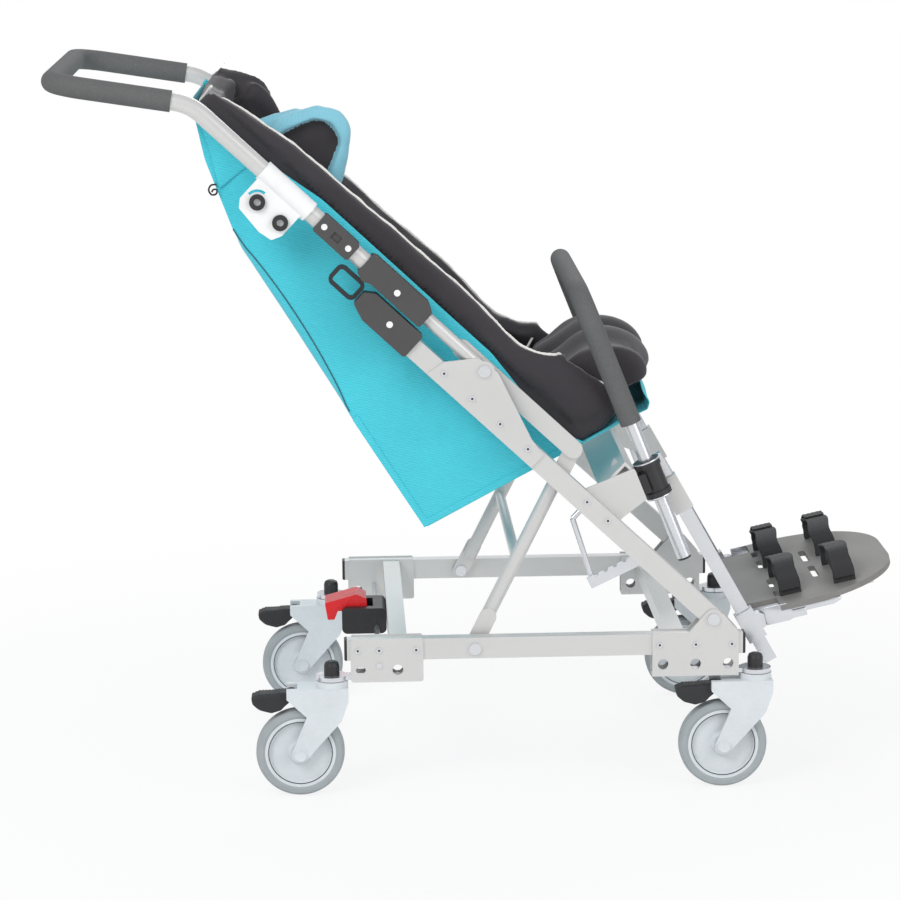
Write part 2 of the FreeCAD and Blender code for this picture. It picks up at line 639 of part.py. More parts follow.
def caster_fork(stem_x, y):
    """Hooded plastic fork with its axle, swivel ring and pedal hinge pin."""
    axle_x = stem_x - TRAIL
    rear_x = stem_x + PEDAL_PIVOT[0] - PEDAL_BARREL_R
    front_x = stem_x + SWIVEL_RING_R
    lean = math.radians(FORK_LEAN)
    foot_x = FORK_ARM_R * math.cos(lean)
    foot_z = FORK_ARM_R * math.sin(lean)
    outline = [(axle_x - foot_x, WHEEL_R + foot_z), (axle_x + foot_x, WHEEL_R - foot_z),
               (front_x - FORK_WAIST[0], WHEEL_R + FORK_BROW), (front_x, FORK_TOP_Z - FORK_SHOULDER),
               (front_x, FORK_TOP_Z), (rear_x, FORK_TOP_Z), (rear_x, FORK_TOP_Z - FORK_REAR_DROP),
               (axle_x + FORK_WAIST[0], WHEEL_R + FORK_WAIST[1])]
    axle = side(axle_x, WHEEL_R)
    body = upright_prism(outline, y - FORK_HALF, y + FORK_HALF)
    body = body.fuse(pin(axle, FORK_ARM_R, y - FORK_HALF, y + FORK_HALF)).removeSplitter()
    wheel_room = pin(axle, WHEEL_R + WHEEL_CLEARANCE, y - FORK_INNER_HALF, y + FORK_INNER_HALF)
    hinge = side(stem_x + PEDAL_PIVOT[0], PEDAL_PIVOT[1])
    pedal_half = PEDAL_HALF + SIDE_CLEARANCE
    pedal_room = box(Vector(hinge.x - 2 * PEDAL_BARREL_R, y - pedal_half,
                            PEDAL_PIVOT[1] - 3 * PEDAL_BARREL_R),
                     Vector(hinge.x + PEDAL_BARREL_R + 1, y + pedal_half, FORK_TOP_Z))
    ring = Part.makeCylinder(SWIVEL_RING_R, TONGUE_Z - 1 - FORK_TOP_Z, Vector(stem_x, y, FORK_TOP_Z))
    kingpin_bore = Part.makeCylinder(KINGPIN_R + RUNNING_CLEARANCE, TONGUE_Z - KINGPIN_FOOT_Z + 2,
                                     Vector(stem_x, y, KINGPIN_FOOT_Z - 2))
    body = body.cut([wheel_room, pedal_room]).fuse(ring).cut(kingpin_bore)
    cap = FORK_HALF + AXLE_CAP
    return body.fuse([pin(axle, AXLE_R, y - cap, y + cap), pin(axle, AXLE_CAP_R, y - cap, y - FORK_HALF),
                      pin(axle, AXLE_CAP_R, y + FORK_HALF, y + cap),
                      pin(hinge, PEDAL_PIN_R, y - FORK_HALF, y + FORK_HALF)])


def caster_wheel(stem_x, y):
    """Disc wheel with hub, dished web and rim."""
    bore = AXLE_R + RUNNING_CLEARANCE
    rim_inner = TYRE_INNER_R - RIM_BAND
    half = [(bore, HUB_HALF), (HUB_R, HUB_HALF), (HUB_R + HUB_FLARE, WEB_HALF), (rim_inner, WEB_HALF),
            (rim_inner + RIM_FLARE, RIM_HALF),
            (TYRE_INNER_R, RIM_HALF)]
    profile = half + [(r, -h) for r, h in reversed(half)]
    return revolved(profile, Vector(stem_x - TRAIL, y, WHEEL_R), AXIS_Y, AXIS_Z)


def caster_tyre(stem_x, y):
    """Grey tyre with rounded shoulders."""
    half = [(TYRE_INNER_R, RIM_HALF), (TYRE_INNER_R + TYRE_SEAT, TYRE_HALF),
            (WHEEL_R - TYRE_SHOULDER, TYRE_HALF),
            (WHEEL_R - TYRE_EDGE, TYRE_HALF - TYRE_SEAT), (WHEEL_R, TYRE_HALF - TYRE_CROWN)]
    profile = half + [(r, -h) for r, h in reversed(half)]
    return revolved(profile, Vector(stem_x - TRAIL, y, WHEEL_R), AXIS_Y, AXIS_Z)


def caster_pedal(stem_x, y):
    """Rubber brake pedal on the fork's hinge pin."""
    outline = [(stem_x + x, z) for x, z in PEDAL_OUTLINE]
    hinge = side(stem_x + PEDAL_PIVOT[0], PEDAL_PIVOT[1])
    paddle = upright_prism(outline, y - PEDAL_HALF, y + PEDAL_HALF)
    barrel = pin(hinge, PEDAL_BARREL_R, y - PEDAL_HALF, y + PEDAL_HALF)
    bore = pin(hinge, PEDAL_PIN_R + RUNNING_CLEARANCE, y - PEDAL_HALF, y + PEDAL_HALF)
    return paddle.fuse(barrel).removeSplitter().cut(bore)


def main_diagonal():
    """Right diagonal tube with its solid pivot end."""
    half = DIAGONAL_DEPTH / 2
    outer = bar(LOWER_PIVOT, plane(DIAGONAL_LENGTH, 0), DIAGONAL_DEPTH, -DIAGONAL_OUTER, -DIAGONAL_INNER)
    outer = outer.fuse(pin(LOWER_PIVOT, half, -DIAGONAL_OUTER, -DIAGONAL_INNER)).removeSplitter()
    hollow = bar(plane(half, 0), plane(DIAGONAL_LENGTH, 0), DIAGONAL_DEPTH - 2 * TUBE_WALL,
                 -DIAGONAL_OUTER + TUBE_WALL,
                 -DIAGONAL_INNER - TUBE_WALL)
    hole = pin(LOWER_PIVOT, PIVOT_PIN_R + RUNNING_CLEARANCE, -DIAGONAL_OUTER, -DIAGONAL_INNER)
    return outer.cut([hollow, hole])


def gusset_plate():
    """Right plate that carries the handle pivot."""
    plate = frame_prism(GUSSET_OUTLINE, -GUSSET_OUTER, -DIAGONAL_OUTER)
    plate = plate.fuse(pin(HANDLE_PIVOT, GUSSET_PIVOT_R, -GUSSET_OUTER, -DIAGONAL_OUTER)).removeSplitter()
    return plate.cut(pin(HANDLE_PIVOT, PIVOT_PIN_R, -GUSSET_OUTER, -DIAGONAL_OUTER))


def frame_rivets():
    """Rivets and bolts of both diagonals, with the handle pivot bolts."""
    heads = [pin(plane(GUSSET_RIVET_S + i * GUSSET_RIVET_PITCH, GUSSET_RIVET_N), RIVET_R,
                 -GUSSET_OUTER - RIVET_HEAD,
                 -GUSSET_OUTER) for i in range(GUSSET_RIVETS)]
    heads += [pin(plane(s, GUSSET_RIVET_N), RIVET_R, -DIAGONAL_OUTER - RIVET_HEAD,
                  -DIAGONAL_OUTER) for s in SIDE_BOLT_S]
    pivot = pin(HANDLE_PIVOT, PIVOT_PIN_R, -GUSSET_OUTER, -LINK_INNER)
    pivot = pivot.fuse(pin(HANDLE_PIVOT, PIVOT_HEAD_R, -GUSSET_OUTER - PIVOT_HEAD, -GUSSET_OUTER))
    return Part.makeCompound(heads + [pivot] + [mirrored(piece) for piece in heads + [pivot]])


def lock_block():
    """Right lock block moulded over the diagonal's top end."""
    block = frame_prism(past_diagonal(LOCK_BLOCK_OUTLINE), -DIAGONAL_OUTER - LOCK_BLOCK_OUT,
                        -DIAGONAL_INNER)
    block = soften(block, BRACKET_CORNER, runs_along_y)
    tube = bar(plane(0, 0), plane(DIAGONAL_LENGTH, 0), DIAGONAL_DEPTH, -DIAGONAL_OUTER, -DIAGONAL_INNER)
    return block.cut(tube)


def front_side_plate():
    """Right plate inside the diagonal that carries the bar clamp."""
    plate = frame_prism(SIDE_PLATE_OUTLINE, -DIAGONAL_INNER, -DIAGONAL_INNER + PLATE)
    return soften(plate, BRACKET_CORNER, runs_along_y)


def foot_rail_axis():
    """Top point and direction of the footrest rails."""
    angle = math.radians(FOOT_RAIL_ANGLE)
    return side(FOOT_RAIL_TOP_X, FOOT_RAIL_TOP_Z), Vector(math.cos(angle), 0, -math.sin(angle))


def front_cross_member():
    """Folded cross plate with the two footrest sockets."""
    reach = DIAGONAL_INNER - PLATE
    solid = frame_prism(CROSS_PLATE_OUTLINE, -reach, reach)
    top, down = foot_rail_axis()
    start = top + down * SOCKET_AT
    end = start + down * SOCKET_LENGTH
    depth = FOOT_RAIL_DEPTH + 2 * SOCKET_WALL
    half = SOCKET_HALF
    fit = 2 * RUNNING_CLEARANCE
    web_s = (CROSS_PLATE_OUTLINE[0][0] + CROSS_PLATE_OUTLINE[1][0]) / 2
    for sign in (-1, 1):
        y = sign * FOOT_RAIL_HALF_GAP
        middle = (start + end) * 0.5
        web = bar(plane(web_s, CROSS_WEB_N), middle, SOCKET_LENGTH * 0.6, y - half, y + half)
        socket = bar(start, end, depth, y - half, y + half)
        bore = bar(start - down * depth, end + down * depth, FOOT_RAIL_DEPTH + fit,
                   y - FOOT_RAIL_WIDTH / 2 - fit / 2,
                   y + FOOT_RAIL_WIDTH / 2 + fit / 2)
        solid = solid.fuse([web, socket]).cut(bore)
    return solid.removeSplitter()


def bar_direction():
    """Direction of the bumper bar's legs, downwards."""
    return (side(BAR_END_X, BAR_END_Z) - side(BAR_TOP_X, BAR_TOP_Z)).normalize()


def bar_leg(distance, y=-BAR_HALF_WIDTH):
    """Point on a bumper bar leg, measured down from the top corner."""
    return side(BAR_TOP_X, BAR_TOP_Z, y) + bar_direction() * distance


def bar_clamp():
    """Right clamp: a split collar round the leg with a lug to the side plate."""
    start = bar_leg(BAR_CLAMP_AT - BAR_CLAMP_LENGTH / 2)
    end = bar_leg(BAR_CLAMP_AT + BAR_CLAMP_LENGTH / 2)
    down = bar_direction()
    body = rod(start, end, BAR_CLAMP_R)
    collars = [rod(start, start + down * CLAMP_COLLAR, CLAMP_COLLAR_R),
               rod(end - down * CLAMP_COLLAR, end, CLAMP_COLLAR_R)]
    toward = Vector(down.z, 0, -down.x)
    near, far = [bar_leg(BAR_CLAMP_AT) + toward * reach for reach in CLAMP_LUG_REACH]
    lug = bar(near, far, CLAMP_LUG, -DIAGONAL_INNER + PLATE, -BAR_HALF_WIDTH)
    fit = BAR_R + RUNNING_CLEARANCE
    return body.fuse(collars + [lug]).removeSplitter().cut(rod(start - down, end + down, fit))


def bar_path(distance):
    """U shaped line of the bumper bar from a distance down one leg to the other."""
    points = [bar_leg(distance), bar_leg(0), bar_leg(0, BAR_HALF_WIDTH),
              bar_leg(distance, BAR_HALF_WIDTH)]
    return rounded_path(points, BAR_BEND_R)


def bar_length():
    """Length of one leg of the bumper bar from its top corner."""
    return (side(BAR_END_X, BAR_END_Z) - side(BAR_TOP_X, BAR_TOP_Z)).Length


def bumper_tube():
    """Zinc plated U tube of the bumper bar."""
    return swept_tube(bar_path(bar_length()), BAR_R, TUBE_WALL)


def bumper_foam():
    """Foam cover over the U of the bumper bar."""
    path = bar_path(BAR_FOAM_END)
    return swept(path, BAR_FOAM_R).cut(swept(path, BAR_R))


def tilt_prop():
    """Notched comb plate and prop rod inside the right diagonal."""
    outer = -DIAGONAL_INNER + 4 * SIDE_CLEARANCE
    inner = outer + PLATE
    comb = frame_prism(COMB_OUTLINE, outer, inner)
    comb = comb.fuse(pin(plane(COMB_OUTLINE[3][0] + 2 * PROP_ROD_R, -PROP_ROD_R), PROP_ROD_R,
                         -DIAGONAL_INNER, outer))
    first, last = plane(*COMB_OUTLINE[0]), plane(*COMB_OUTLINE[-1])
    step = (last - first) * (1.0 / (COMB_NOTCHES + 1))
    comb = comb.cut([pin(first + step * (i + 1), PROP_ROD_R, outer, inner) for i in range(COMB_NOTCHES)])
    top = plane(*PROP_TOP)
    foot = plane(*PROP_FOOT)
    mid = inner + PROP_ROD_R
    rod_run = rod(at_y(top, mid), at_y(foot, mid), PROP_ROD_R)
    top_bolt = pin(plane(PROP_TOP[0], 0), PROP_ROD_R, -DIAGONAL_INNER + PLATE, mid)
    top_bolt = top_bolt.fuse(rod(plane(PROP_TOP[0], 0, mid), at_y(top, mid), PROP_ROD_R))
    foot_bolt = pin(foot, PROP_ROD_R, inner, mid)
    return Part.makeCompound([comb, rod_run.fuse([top_bolt, foot_bolt])])


def foot_rails():
    """Pair of footrest rails."""
    top, down = foot_rail_axis()
    y = -FOOT_RAIL_HALF_GAP
    rail = bar(top, top + down * FOOT_RAIL_LENGTH, FOOT_RAIL_DEPTH, y - FOOT_RAIL_WIDTH / 2,
               y + FOOT_RAIL_WIDTH / 2)
    return both(rail)


def foot_carrier():
    """Clamps on the rails, ears and the hinge rod of the footplate."""
    top, down = foot_rail_axis()
    pivot = side(FOOT_PIVOT_X, FOOT_PIVOT_Z)
    along = (pivot - top).dot(down)
    foot = top + down * along
    half = FOOT_RAIL_WIDTH / 2 + SOCKET_WALL
    solid = pin(pivot, FOOT_ROD_R, -FOOT_RAIL_HALF_GAP, FOOT_RAIL_HALF_GAP)
    for sign in (-1, 1):
        y = sign * FOOT_RAIL_HALF_GAP
        block = bar(foot - down * FOOT_CLAMP_LENGTH / 2, foot + down * FOOT_CLAMP_LENGTH / 2,
                    FOOT_RAIL_DEPTH + 2 * SOCKET_WALL, y - half, y + half)
        ear = rounded_bar(foot, pivot, 2 * FOOT_ROD_COLLAR_R, y - half, y + half)
        rail = bar(top, top + down * FOOT_RAIL_LENGTH, FOOT_RAIL_DEPTH, y - FOOT_RAIL_WIDTH / 2,
                   y + FOOT_RAIL_WIDTH / 2)
        solid = solid.fuse([block, ear]).cut(rail)
    return solid.removeSplitter()


def plate_point(u, v, w=0.0):
    """Point of the tilted footplate: u forward from the hinge, v across, w above its mid plane."""
    tilt = math.radians(FOOTPLATE_TILT)
    forward = Vector(math.cos(tilt), 0, math.sin(tilt))
    up = Vector(-math.sin(tilt), 0, math.cos(tilt))
    return side(FOOT_PIVOT_X, FOOT_PIVOT_Z) + forward * u + up * (FOOTPLATE_LIFT + w) + AXIS_Y * v


def plate_block(points, low, high):
    """Flat block in the footplate's plane."""
    flat = [plate_point(u, v, low) for u, v in points]
    face = Part.Face(Part.makePolygon(flat + flat[:1]))
    return face.extrude(plate_point(0, 0, high) - plate_point(0, 0, low))


def footplate_length():
    """Distance from the hinge to the footplate's front edge, along the plate."""
    tilt = math.radians(FOOTPLATE_TILT)
    drop = FOOTPLATE_LIFT - FOOTPLATE_THICK / 2
    return (FOOTPLATE_TIP_X - FOOT_PIVOT_X + drop * math.sin(tilt)) / math.cos(tilt)


def foot_slot(u, v, length, width, half_thick):
    """Round ended slot across the footplate."""
    reach = (length - width) / 2
    ends = [plate_point(u, v + sign * reach, -half_thick) for sign in (-1, 1)]
    up = plate_point(0, 0, 2 * half_thick) - plate_point(0, 0, 0)
    block = plate_block([(u - width / 2, v - reach), (u + width / 2, v - reach),
                         (u + width / 2, v + reach),
                         (u - width / 2, v + reach)], -half_thick, half_thick)
    return block.fuse([Part.makeCylinder(width / 2, 2 * half_thick, end, up) for end in ends])


def footplate():
    """Footplate with rounded front, notched back corners, slots and hinge barrels."""
    half_thick = FOOTPLATE_THICK / 2
    front = footplate_length()
    outline = [(-FOOTPLATE_BACK, -FOOTPLATE_BACK_HALF), (FOOTPLATE_NOTCH, -FOOTPLATE_BACK_HALF),
               (FOOTPLATE_NOTCH, -FOOTPLATE_HALF),
               (front, -FOOTPLATE_HALF), (front, FOOTPLATE_HALF), (FOOTPLATE_NOTCH, FOOTPLATE_HALF),
               (FOOTPLATE_NOTCH, FOOTPLATE_BACK_HALF), (-FOOTPLATE_BACK, FOOTPLATE_BACK_HALF)]
    plate = plate_block(outline, -half_thick, half_thick)
    corners = [plate_point(front, sign * FOOTPLATE_HALF) for sign in (-1, 1)]
    plate = soften(plate, FOOTPLATE_TIP_R, lambda e: min((e.CenterOfMass - c).Length for c in corners) < 0.01)
    slots = [foot_slot(u, sign * v, length, width, half_thick) for u, v, length,
             width in FOOT_SLOTS for sign in (-1, 1)]
    plate = plate.cut(slots)
    pivot = side(FOOT_PIVOT_X, FOOT_PIVOT_Z)
    for sign in (-1, 1):
        ends = sorted([sign * BARREL_Y[0], sign * BARREL_Y[1]])
        barrel = pin(pivot, BARREL_R, *ends)
        plate = plate.fuse(barrel).cut(pin(pivot, FOOT_ROD_R + RUNNING_CLEARANCE, *ends))
    return plate.removeSplitter()


def foot_straps():
    """Four hook and loop straps that arch over the footplate."""
    straps = []
    base_w = FOOTPLATE_THICK / 2
    for u in STRAP_AT:
        for sign in (-1, 1):
            centre = sign * STRAP_CENTRE_Y
            bands = []
            for inset in (0.0, STRAP_THICK):
                span = STRAP_HALF_SPAN - inset
                top = STRAP_HEIGHT - inset
                start = plate_point(u - STRAP_BAND / 2, centre - span, base_w)
                knee = plate_point(u - STRAP_BAND / 2, centre - span * STRAP_KNEE[0],
                                   base_w + top * STRAP_KNEE[1])
                crest = plate_point(u - STRAP_BAND / 2, centre, base_w + top)
                knee_far = plate_point(u - STRAP_BAND / 2, centre + span * STRAP_KNEE[0],
                                       base_w + top * STRAP_KNEE[1])
                end = plate_point(u - STRAP_BAND / 2, centre + span, base_w)
                curve = Part.BSplineCurve()
                curve.interpolate([start, knee, crest, knee_far, end])
                face = Part.Face(Part.Wire([curve.toShape(), Part.LineSegment(end, start).toShape()]))
                bands.append(face.extrude(plate_point(STRAP_BAND, 0) - plate_point(0, 0)))
            straps.append(bands[0].cut(bands[1]))
    return Part.makeCompound(straps)


def footplate_bracket():
    """Zinc bars under the footplate with ears on the hinge rod."""
    under = -FOOTPLATE_THICK / 2
    front = footplate_length() - CARRIER_BAR_SHORT
    pivot = side(FOOT_PIVOT_X, FOOT_PIVOT_Z)
    pieces = []
    for sign in (-1, 1):
        near, far = [sign * y for y in CARRIER_BAR_Y]
        bar_block = plate_block([(CARRIER_BAR_U, near), (front, near), (front, far),
                                 (CARRIER_BAR_U, far)],
                                under - CARRIER_BAR_THICK, under)
        inner, outer = [sign * y for y in CARRIER_EAR_Y]
        flat = [plate_point(u, inner, w) for u, w in CARRIER_EAR]
        ear = Part.Face(Part.makePolygon(flat + flat[:1])).extrude(Vector(0, outer - inner, 0))
        tie = plate_block([(CARRIER_BAR_U, far), (CARRIER_EAR[2][0], far), (CARRIER_EAR[2][0], outer),
                           (CARRIER_BAR_U, outer)],
                          under - CARRIER_BAR_THICK, under)
        hole = pin(pivot, FOOT_ROD_R + RUNNING_CLEARANCE, *sorted([inner, outer]))
        pieces.append(bar_block.fuse([ear, tie]).removeSplitter().cut(hole))
    return Part.makeCompound(pieces)


def handle_points():
    """Corner points of the handle's line, right side first."""
    rear = HANDLE_REAR_X + GRIP_R
    bend = plane(HANDLE_BEND_S, HANDLE_LINE_N, -TRACK_HALF)
    rise = (bend.x - rear) * math.tan(math.radians(HANDLE_GRIP_RISE))
    corner = Vector(rear, -TRACK_HALF, bend.z + rise)
    start = plane(HANDLE_TUBE_END_S, HANDLE_LINE_N, -TRACK_HALF)
    right = [start, bend, corner]
    return right + [Vector(p.x, -p.y, p.z) for p in reversed(right)]


def handle_tube():
    """Bent round tube of the push handle."""
    start, bend, corner, far_corner, far_bend, far_start = handle_points()
    right = rounded_path([start, bend, corner], HANDLE_BEND_R)
    left = rounded_path([far_corner, far_bend, far_start], HANDLE_BEND_R)
    cross = rounded_path([bend, corner, far_corner, far_bend], HANDLE_CORNER_R)
    into = (corner - bend).normalize()
    turn = HANDLE_CORNER_R
    first = Part.Wire(right.Edges[:2] + [Part.LineSegment(right.Edges[1].Vertexes[-1].Point,
                                                          corner - into * turn).toShape()])
    arc_edges = cross.Edges[1:-1]
    back = Vector(into.x, -into.y, into.z)
    last = [Part.LineSegment(far_corner - back * turn,
                             left.Edges[1].Vertexes[0].Point).toShape()] + left.Edges[1:]
    path = Part.Wire(first.Edges + arc_edges + last)
    return swept_tube(path, HANDLE_R, TUBE_WALL)


def handle_grip():
    """Foam grip round the back of the handle."""
    points = handle_points()
    start = points[1] + (points[2] - points[1]).normalize() * GRIP_START
    path = rounded_path([start, points[2], points[3], Vector(start.x, -start.y, start.z)],
                        HANDLE_CORNER_R)
    return swept(path, GRIP_R).cut(swept(path, HANDLE_R))


def lower_handle_bar():
    """Right lower handle tube with the flat link bar welded inside it."""
    lower = plane(HANDLE_PIVOT_S, HANDLE_LINE_N, -TRACK_HALF)
    upper = plane(HANDLE_TUBE_END_S, HANDLE_LINE_N, -TRACK_HALF)
    tube = rod(lower - ALONG * HANDLE_LOWER_R * 1.5, upper, HANDLE_LOWER_R)
    link_top = plane(LINK_TOP_S, HANDLE_LINE_N)
    link = rounded_bar(link_top, LINK_PIVOT, LINK_DEPTH, -LINK_OUTER, -LINK_INNER)
    weld = bar(plane(HANDLE_PIVOT_S, HANDLE_LINE_N), link_top, HANDLE_LOWER_R, -TRACK_HALF, -LINK_INNER)
    solid = tube.fuse([link, weld]).removeSplitter()
    return solid.cut(pin(HANDLE_PIVOT, PIVOT_PIN_R + RUNNING_CLEARANCE, -GUSSET_OUTER, -LINK_INNER))


def lock_sleeve():
    """Right lock sleeve on the handle tube, bored for both tube sizes."""
    body = frame_prism(past_diagonal(SLEEVE_OUTLINE), -TRACK_HALF - SLEEVE_HALF_WIDTH,
                       -TRACK_HALF + SLEEVE_HALF_WIDTH)
    body = soften(body, BRACKET_CORNER, runs_along_y)
    join = plane(HANDLE_TUBE_END_S, HANDLE_LINE_N, -TRACK_HALF)
    upper = rod(join, join + ALONG * DIAGONAL_LENGTH, HANDLE_R)
    lower = rod(join - ALONG * DIAGONAL_LENGTH, join, HANDLE_LOWER_R)
    return body.cut([upper, lower])


def on_handle(distance):
    """Point on the right handle tube's axis, measured from the diagonal's top end."""
    return plane(DIAGONAL_LENGTH + distance, HANDLE_LINE_N, -TRACK_HALF)


def height_block():
    """Right connector block on the handle tube."""
    low, high = HEIGHT_BLOCK
    n_low = HANDLE_LINE_N - HEIGHT_BLOCK_DEPTH / 2
    n_high = HANDLE_LINE_N + HEIGHT_BLOCK_DEPTH / 2
    outline = past_diagonal([(low, n_low), (high, n_low), (high, n_high), (low, n_high)])
    block = frame_prism(outline, -TRACK_HALF - HEIGHT_BLOCK_HALF, -TRACK_HALF + HEIGHT_BLOCK_HALF)
    block = soften(block, BRACKET_CORNER, runs_along_y)
    middle = (low + high) / 2
    length, depth = [size / 2 for size in HEIGHT_BLOCK_WINDOW]
    window = past_diagonal([(middle - length, HANDLE_LINE_N - depth),
                            (middle + length, HANDLE_LINE_N - depth),
                            (middle + length, HANDLE_LINE_N + depth),
                            (middle - length, HANDLE_LINE_N + depth)])
    outer = -TRACK_HALF - HEIGHT_BLOCK_HALF
    recess = frame_prism(window, outer, outer + PLATE)
    return block.cut([rod(on_handle(low - PLATE), on_handle(high + PLATE), HANDLE_R), recess])


def clamp_plate():
    """Right white clamp: a sleeve on the tube and a plate for the two knobs."""
    low, high = CLAMP_SLEEVE
    sleeve = rod(on_handle(low), on_handle(high), CLAMP_SLEEVE_R)
    outer = -CLAMP_PLATE_Y
    plate = frame_prism(past_diagonal(CLAMP_PLATE_OUTLINE), outer, outer + PLATE)
    plate = soften(plate, BRACKET_CORNER, runs_along_y)
    bore = rod(on_handle(low - PLATE), on_handle(high + PLATE), HANDLE_R)
    knob = plane(DIAGONAL_LENGTH + KNOB_PLACES[1], KNOB_N)
    inner_r, outer_r = CLAMP_SLOT_R
    ring = pin(knob, outer_r, outer, outer + PLATE).cut(pin(knob, inner_r, outer, outer + PLATE))
    keep = prism([knob, knob + ALONG * outer_r, knob + ALONG * outer_r + SQUARE * outer_r,
                  knob + SQUARE * outer_r],
                 outer, outer + PLATE)
    return sleeve.fuse(plate).removeSplitter().cut([bore, ring.common(keep)])


def clamp_knobs():
    """Four round knobs on the clamp plates."""
    outer = -CLAMP_PLATE_Y
    knobs = []
    for place in KNOB_PLACES:
        centre = plane(DIAGONAL_LENGTH + place, KNOB_N)
        knob = pin(centre, KNOB_R, outer - KNOB_HEIGHT, outer)
        knobs.append(knob.cut(pin(centre, KNOB_BORE_R, outer - KNOB_HEIGHT, outer)))
    return Part.makeCompound(knobs + [mirrored(knob) for knob in knobs])


def finger_loop():
    """Right pull loop that slides up the handle to open the lock."""
    (low_s, high_s), (low_n, high_n) = LOOP, LOOP_N
    y_from = -TRACK_HALF - LOOP_HALF_WIDTH
    y_to = -TRACK_HALF + LOOP_HALF_WIDTH
    solids = []
    for inset in (0.0, LOOP_BAND):
        outline = [(low_s + inset, low_n + inset), (high_s - inset, low_n + inset),
                   (high_s - inset, high_n - inset),
                   (low_s + inset, high_n - inset)]
        solid = frame_prism(past_diagonal(outline), y_from, y_to)
        solids.append(soften(solid, LOOP_CORNER - inset, runs_along_y))
    return solids[0].cut(solids[1])


def rear_struts():
    """Both rear struts with flattened ends, welded to their cross tube."""
    run = (LINK_PIVOT - STRUT_FOOT).normalize()
    pieces = []
    for pivot, inward in ((STRUT_FOOT, run), (LINK_PIVOT, run * -1)):
        pieces.append(rounded_bar(pivot, pivot + inward * STRUT_FLAT, 2 * STRUT_END_R, -STRUT_OUTER,
                                  -STRUT_INNER))
    start = at_y(STRUT_FOOT + run * STRUT_FLAT * 0.6, -STRUT_Y)
    end = at_y(LINK_PIVOT - run * STRUT_FLAT * 0.6, -STRUT_Y)
    strut = rod(start, end, STRUT_R).fuse(pieces)
    cross = pin(STRUT_FOOT + run * STRUT_CROSS_AT, STRUT_CROSS_R, -STRUT_Y, STRUT_Y)
    frame = strut.fuse([mirrored(strut), cross]).removeSplitter()
    foot_hole = pin(STRUT_FOOT, PIVOT_PIN_R + RUNNING_CLEARANCE, -STRUT_OUTER, STRUT_OUTER)
    head_hole = pin(LINK_PIVOT, PIVOT_PIN_R, -STRUT_OUTER, STRUT_OUTER)
    return frame.cut([foot_hole, head_hole])


def inset_chain(chain, distance):
    """Open line moved square to itself, towards the occupant."""
    lines = []
    for (s0, n0), (s1, n1) in zip(chain, chain[1:]):
        length = math.hypot(s1 - s0, n1 - n0)
        lines.append(((s1 - s0) / length, (n1 - n0) / length))
    moved = []
    for index, (s, n) in enumerate(chain):
        before = lines[max(index - 1, 0)]
        after = lines[min(index, len(lines) - 1)]
        normal = (before[1] + after[1], -before[0] - after[0])
        scale = distance / (1 + before[0] * after[0] + before[1] * after[1])
        moved.append((s + normal[0] * scale, n + normal[1] * scale))
    return moved


def pocket(chain, distance, mouth_n):
    """Outline of the room inside a chain, open past the mouth."""
    inner = inset_chain(chain, distance)
    return inner + [(inner[-1][0], mouth_n), (inner[0][0] + distance * 10, mouth_n),
                    (inner[0][0] + distance * 10, inner[0][1])]


def seat_sling():
    """Turquoise sling: side panels, back and seat bottom in one open bag."""
    chain = SEAT_CHAIN[:-1]
    outline = chain + [(chain[-1][0], SLING_TOP_N), (chain[0][0], SLING_TOP_N)]
    bag = frame_prism(outline, -SLING_HALF, SLING_HALF)
    half = SLING_HALF - SLING_CLOTH
    return bag.cut(frame_prism(pocket(chain, SLING_CLOTH, SLING_TOP_N + LINER_PAD), -half, half))


def seat_liner():
    """Padded black liner inside the sling, with raised side walls."""
    depth = SLING_CLOTH + LINER_GAP
    outer = inset_chain(SEAT_CHAIN, depth)
    half = SLING_HALF - depth
    bucket = frame_prism(outer + LINER_RIM, -half, half)
    inner_half = half - LINER_SIDE
    mouth = max(n for _, n in LINER_RIM) + LINER_PAD
    room = frame_prism(pocket(SEAT_CHAIN, depth + LINER_PAD, mouth), -inner_half, inner_half)
    lowered = [(s, n - LINER_SLUMP) for s, n in LINER_RIM]
    slump = frame_prism(lowered + [(LINER_RIM[-1][0], mouth), (LINER_RIM[0][0], mouth)], inner_half, half)
    solid = bucket.cut([room, slump])
    for y, lowering in ((-half, 0.0), (half, LINER_SLUMP)):
        solid = solid.fuse(liner_roll(y, lowering))
    return solid.removeSplitter()


def liner_roll(y, slump):
    """Padded roll with round ends along the top of one side wall."""
    middle = y - math.copysign(LINER_ROLL_INSET, y)
    end_s, end_n = LINER_RIM[-1]
    rim = LINER_RIM[1:-1] + [(end_s - LINER_ROLL_END - 2 * slump, end_n)]
    points = [plane(s, n - LINER_ROLL_DROP - slump, middle) for s, n in rim]
    roll = swept(rounded_path(points, LINER_ROLL_BEND), LINER_ROLL_R)
    return roll.fuse([Part.makeSphere(LINER_ROLL_R, points[0]),
                      Part.makeSphere(LINER_ROLL_R, points[-1])])


def cushion_section(y, inset):
    """Closed smooth outline of the seat cushion at one Y."""
    count = len(CUSHION_PROFILE)
    mid_s = sum(s for s, _ in CUSHION_PROFILE) / count
    mid_n = sum(n for _, n in CUSHION_PROFILE) / count
    points = []
    for s, n in CUSHION_PROFILE:
        away = math.hypot(s - mid_s, n - mid_n)
        keep = 1 - inset / away
        points.append(plane(mid_s + (s - mid_s) * keep, mid_n + (n - mid_n) * keep, y))
    curve = Part.BSplineCurve()
    curve.interpolate(points, PeriodicFlag=True)
    return Part.Wire(curve.toShape())


def seat_cushion():
    """Seat cushion with a crown over each thigh and a channel between them."""
    wires = [cushion_section(share * CUSHION_HALF, inset) for share, inset in CUSHION_SECTIONS]
    return Part.makeLoft(wires, True, False)


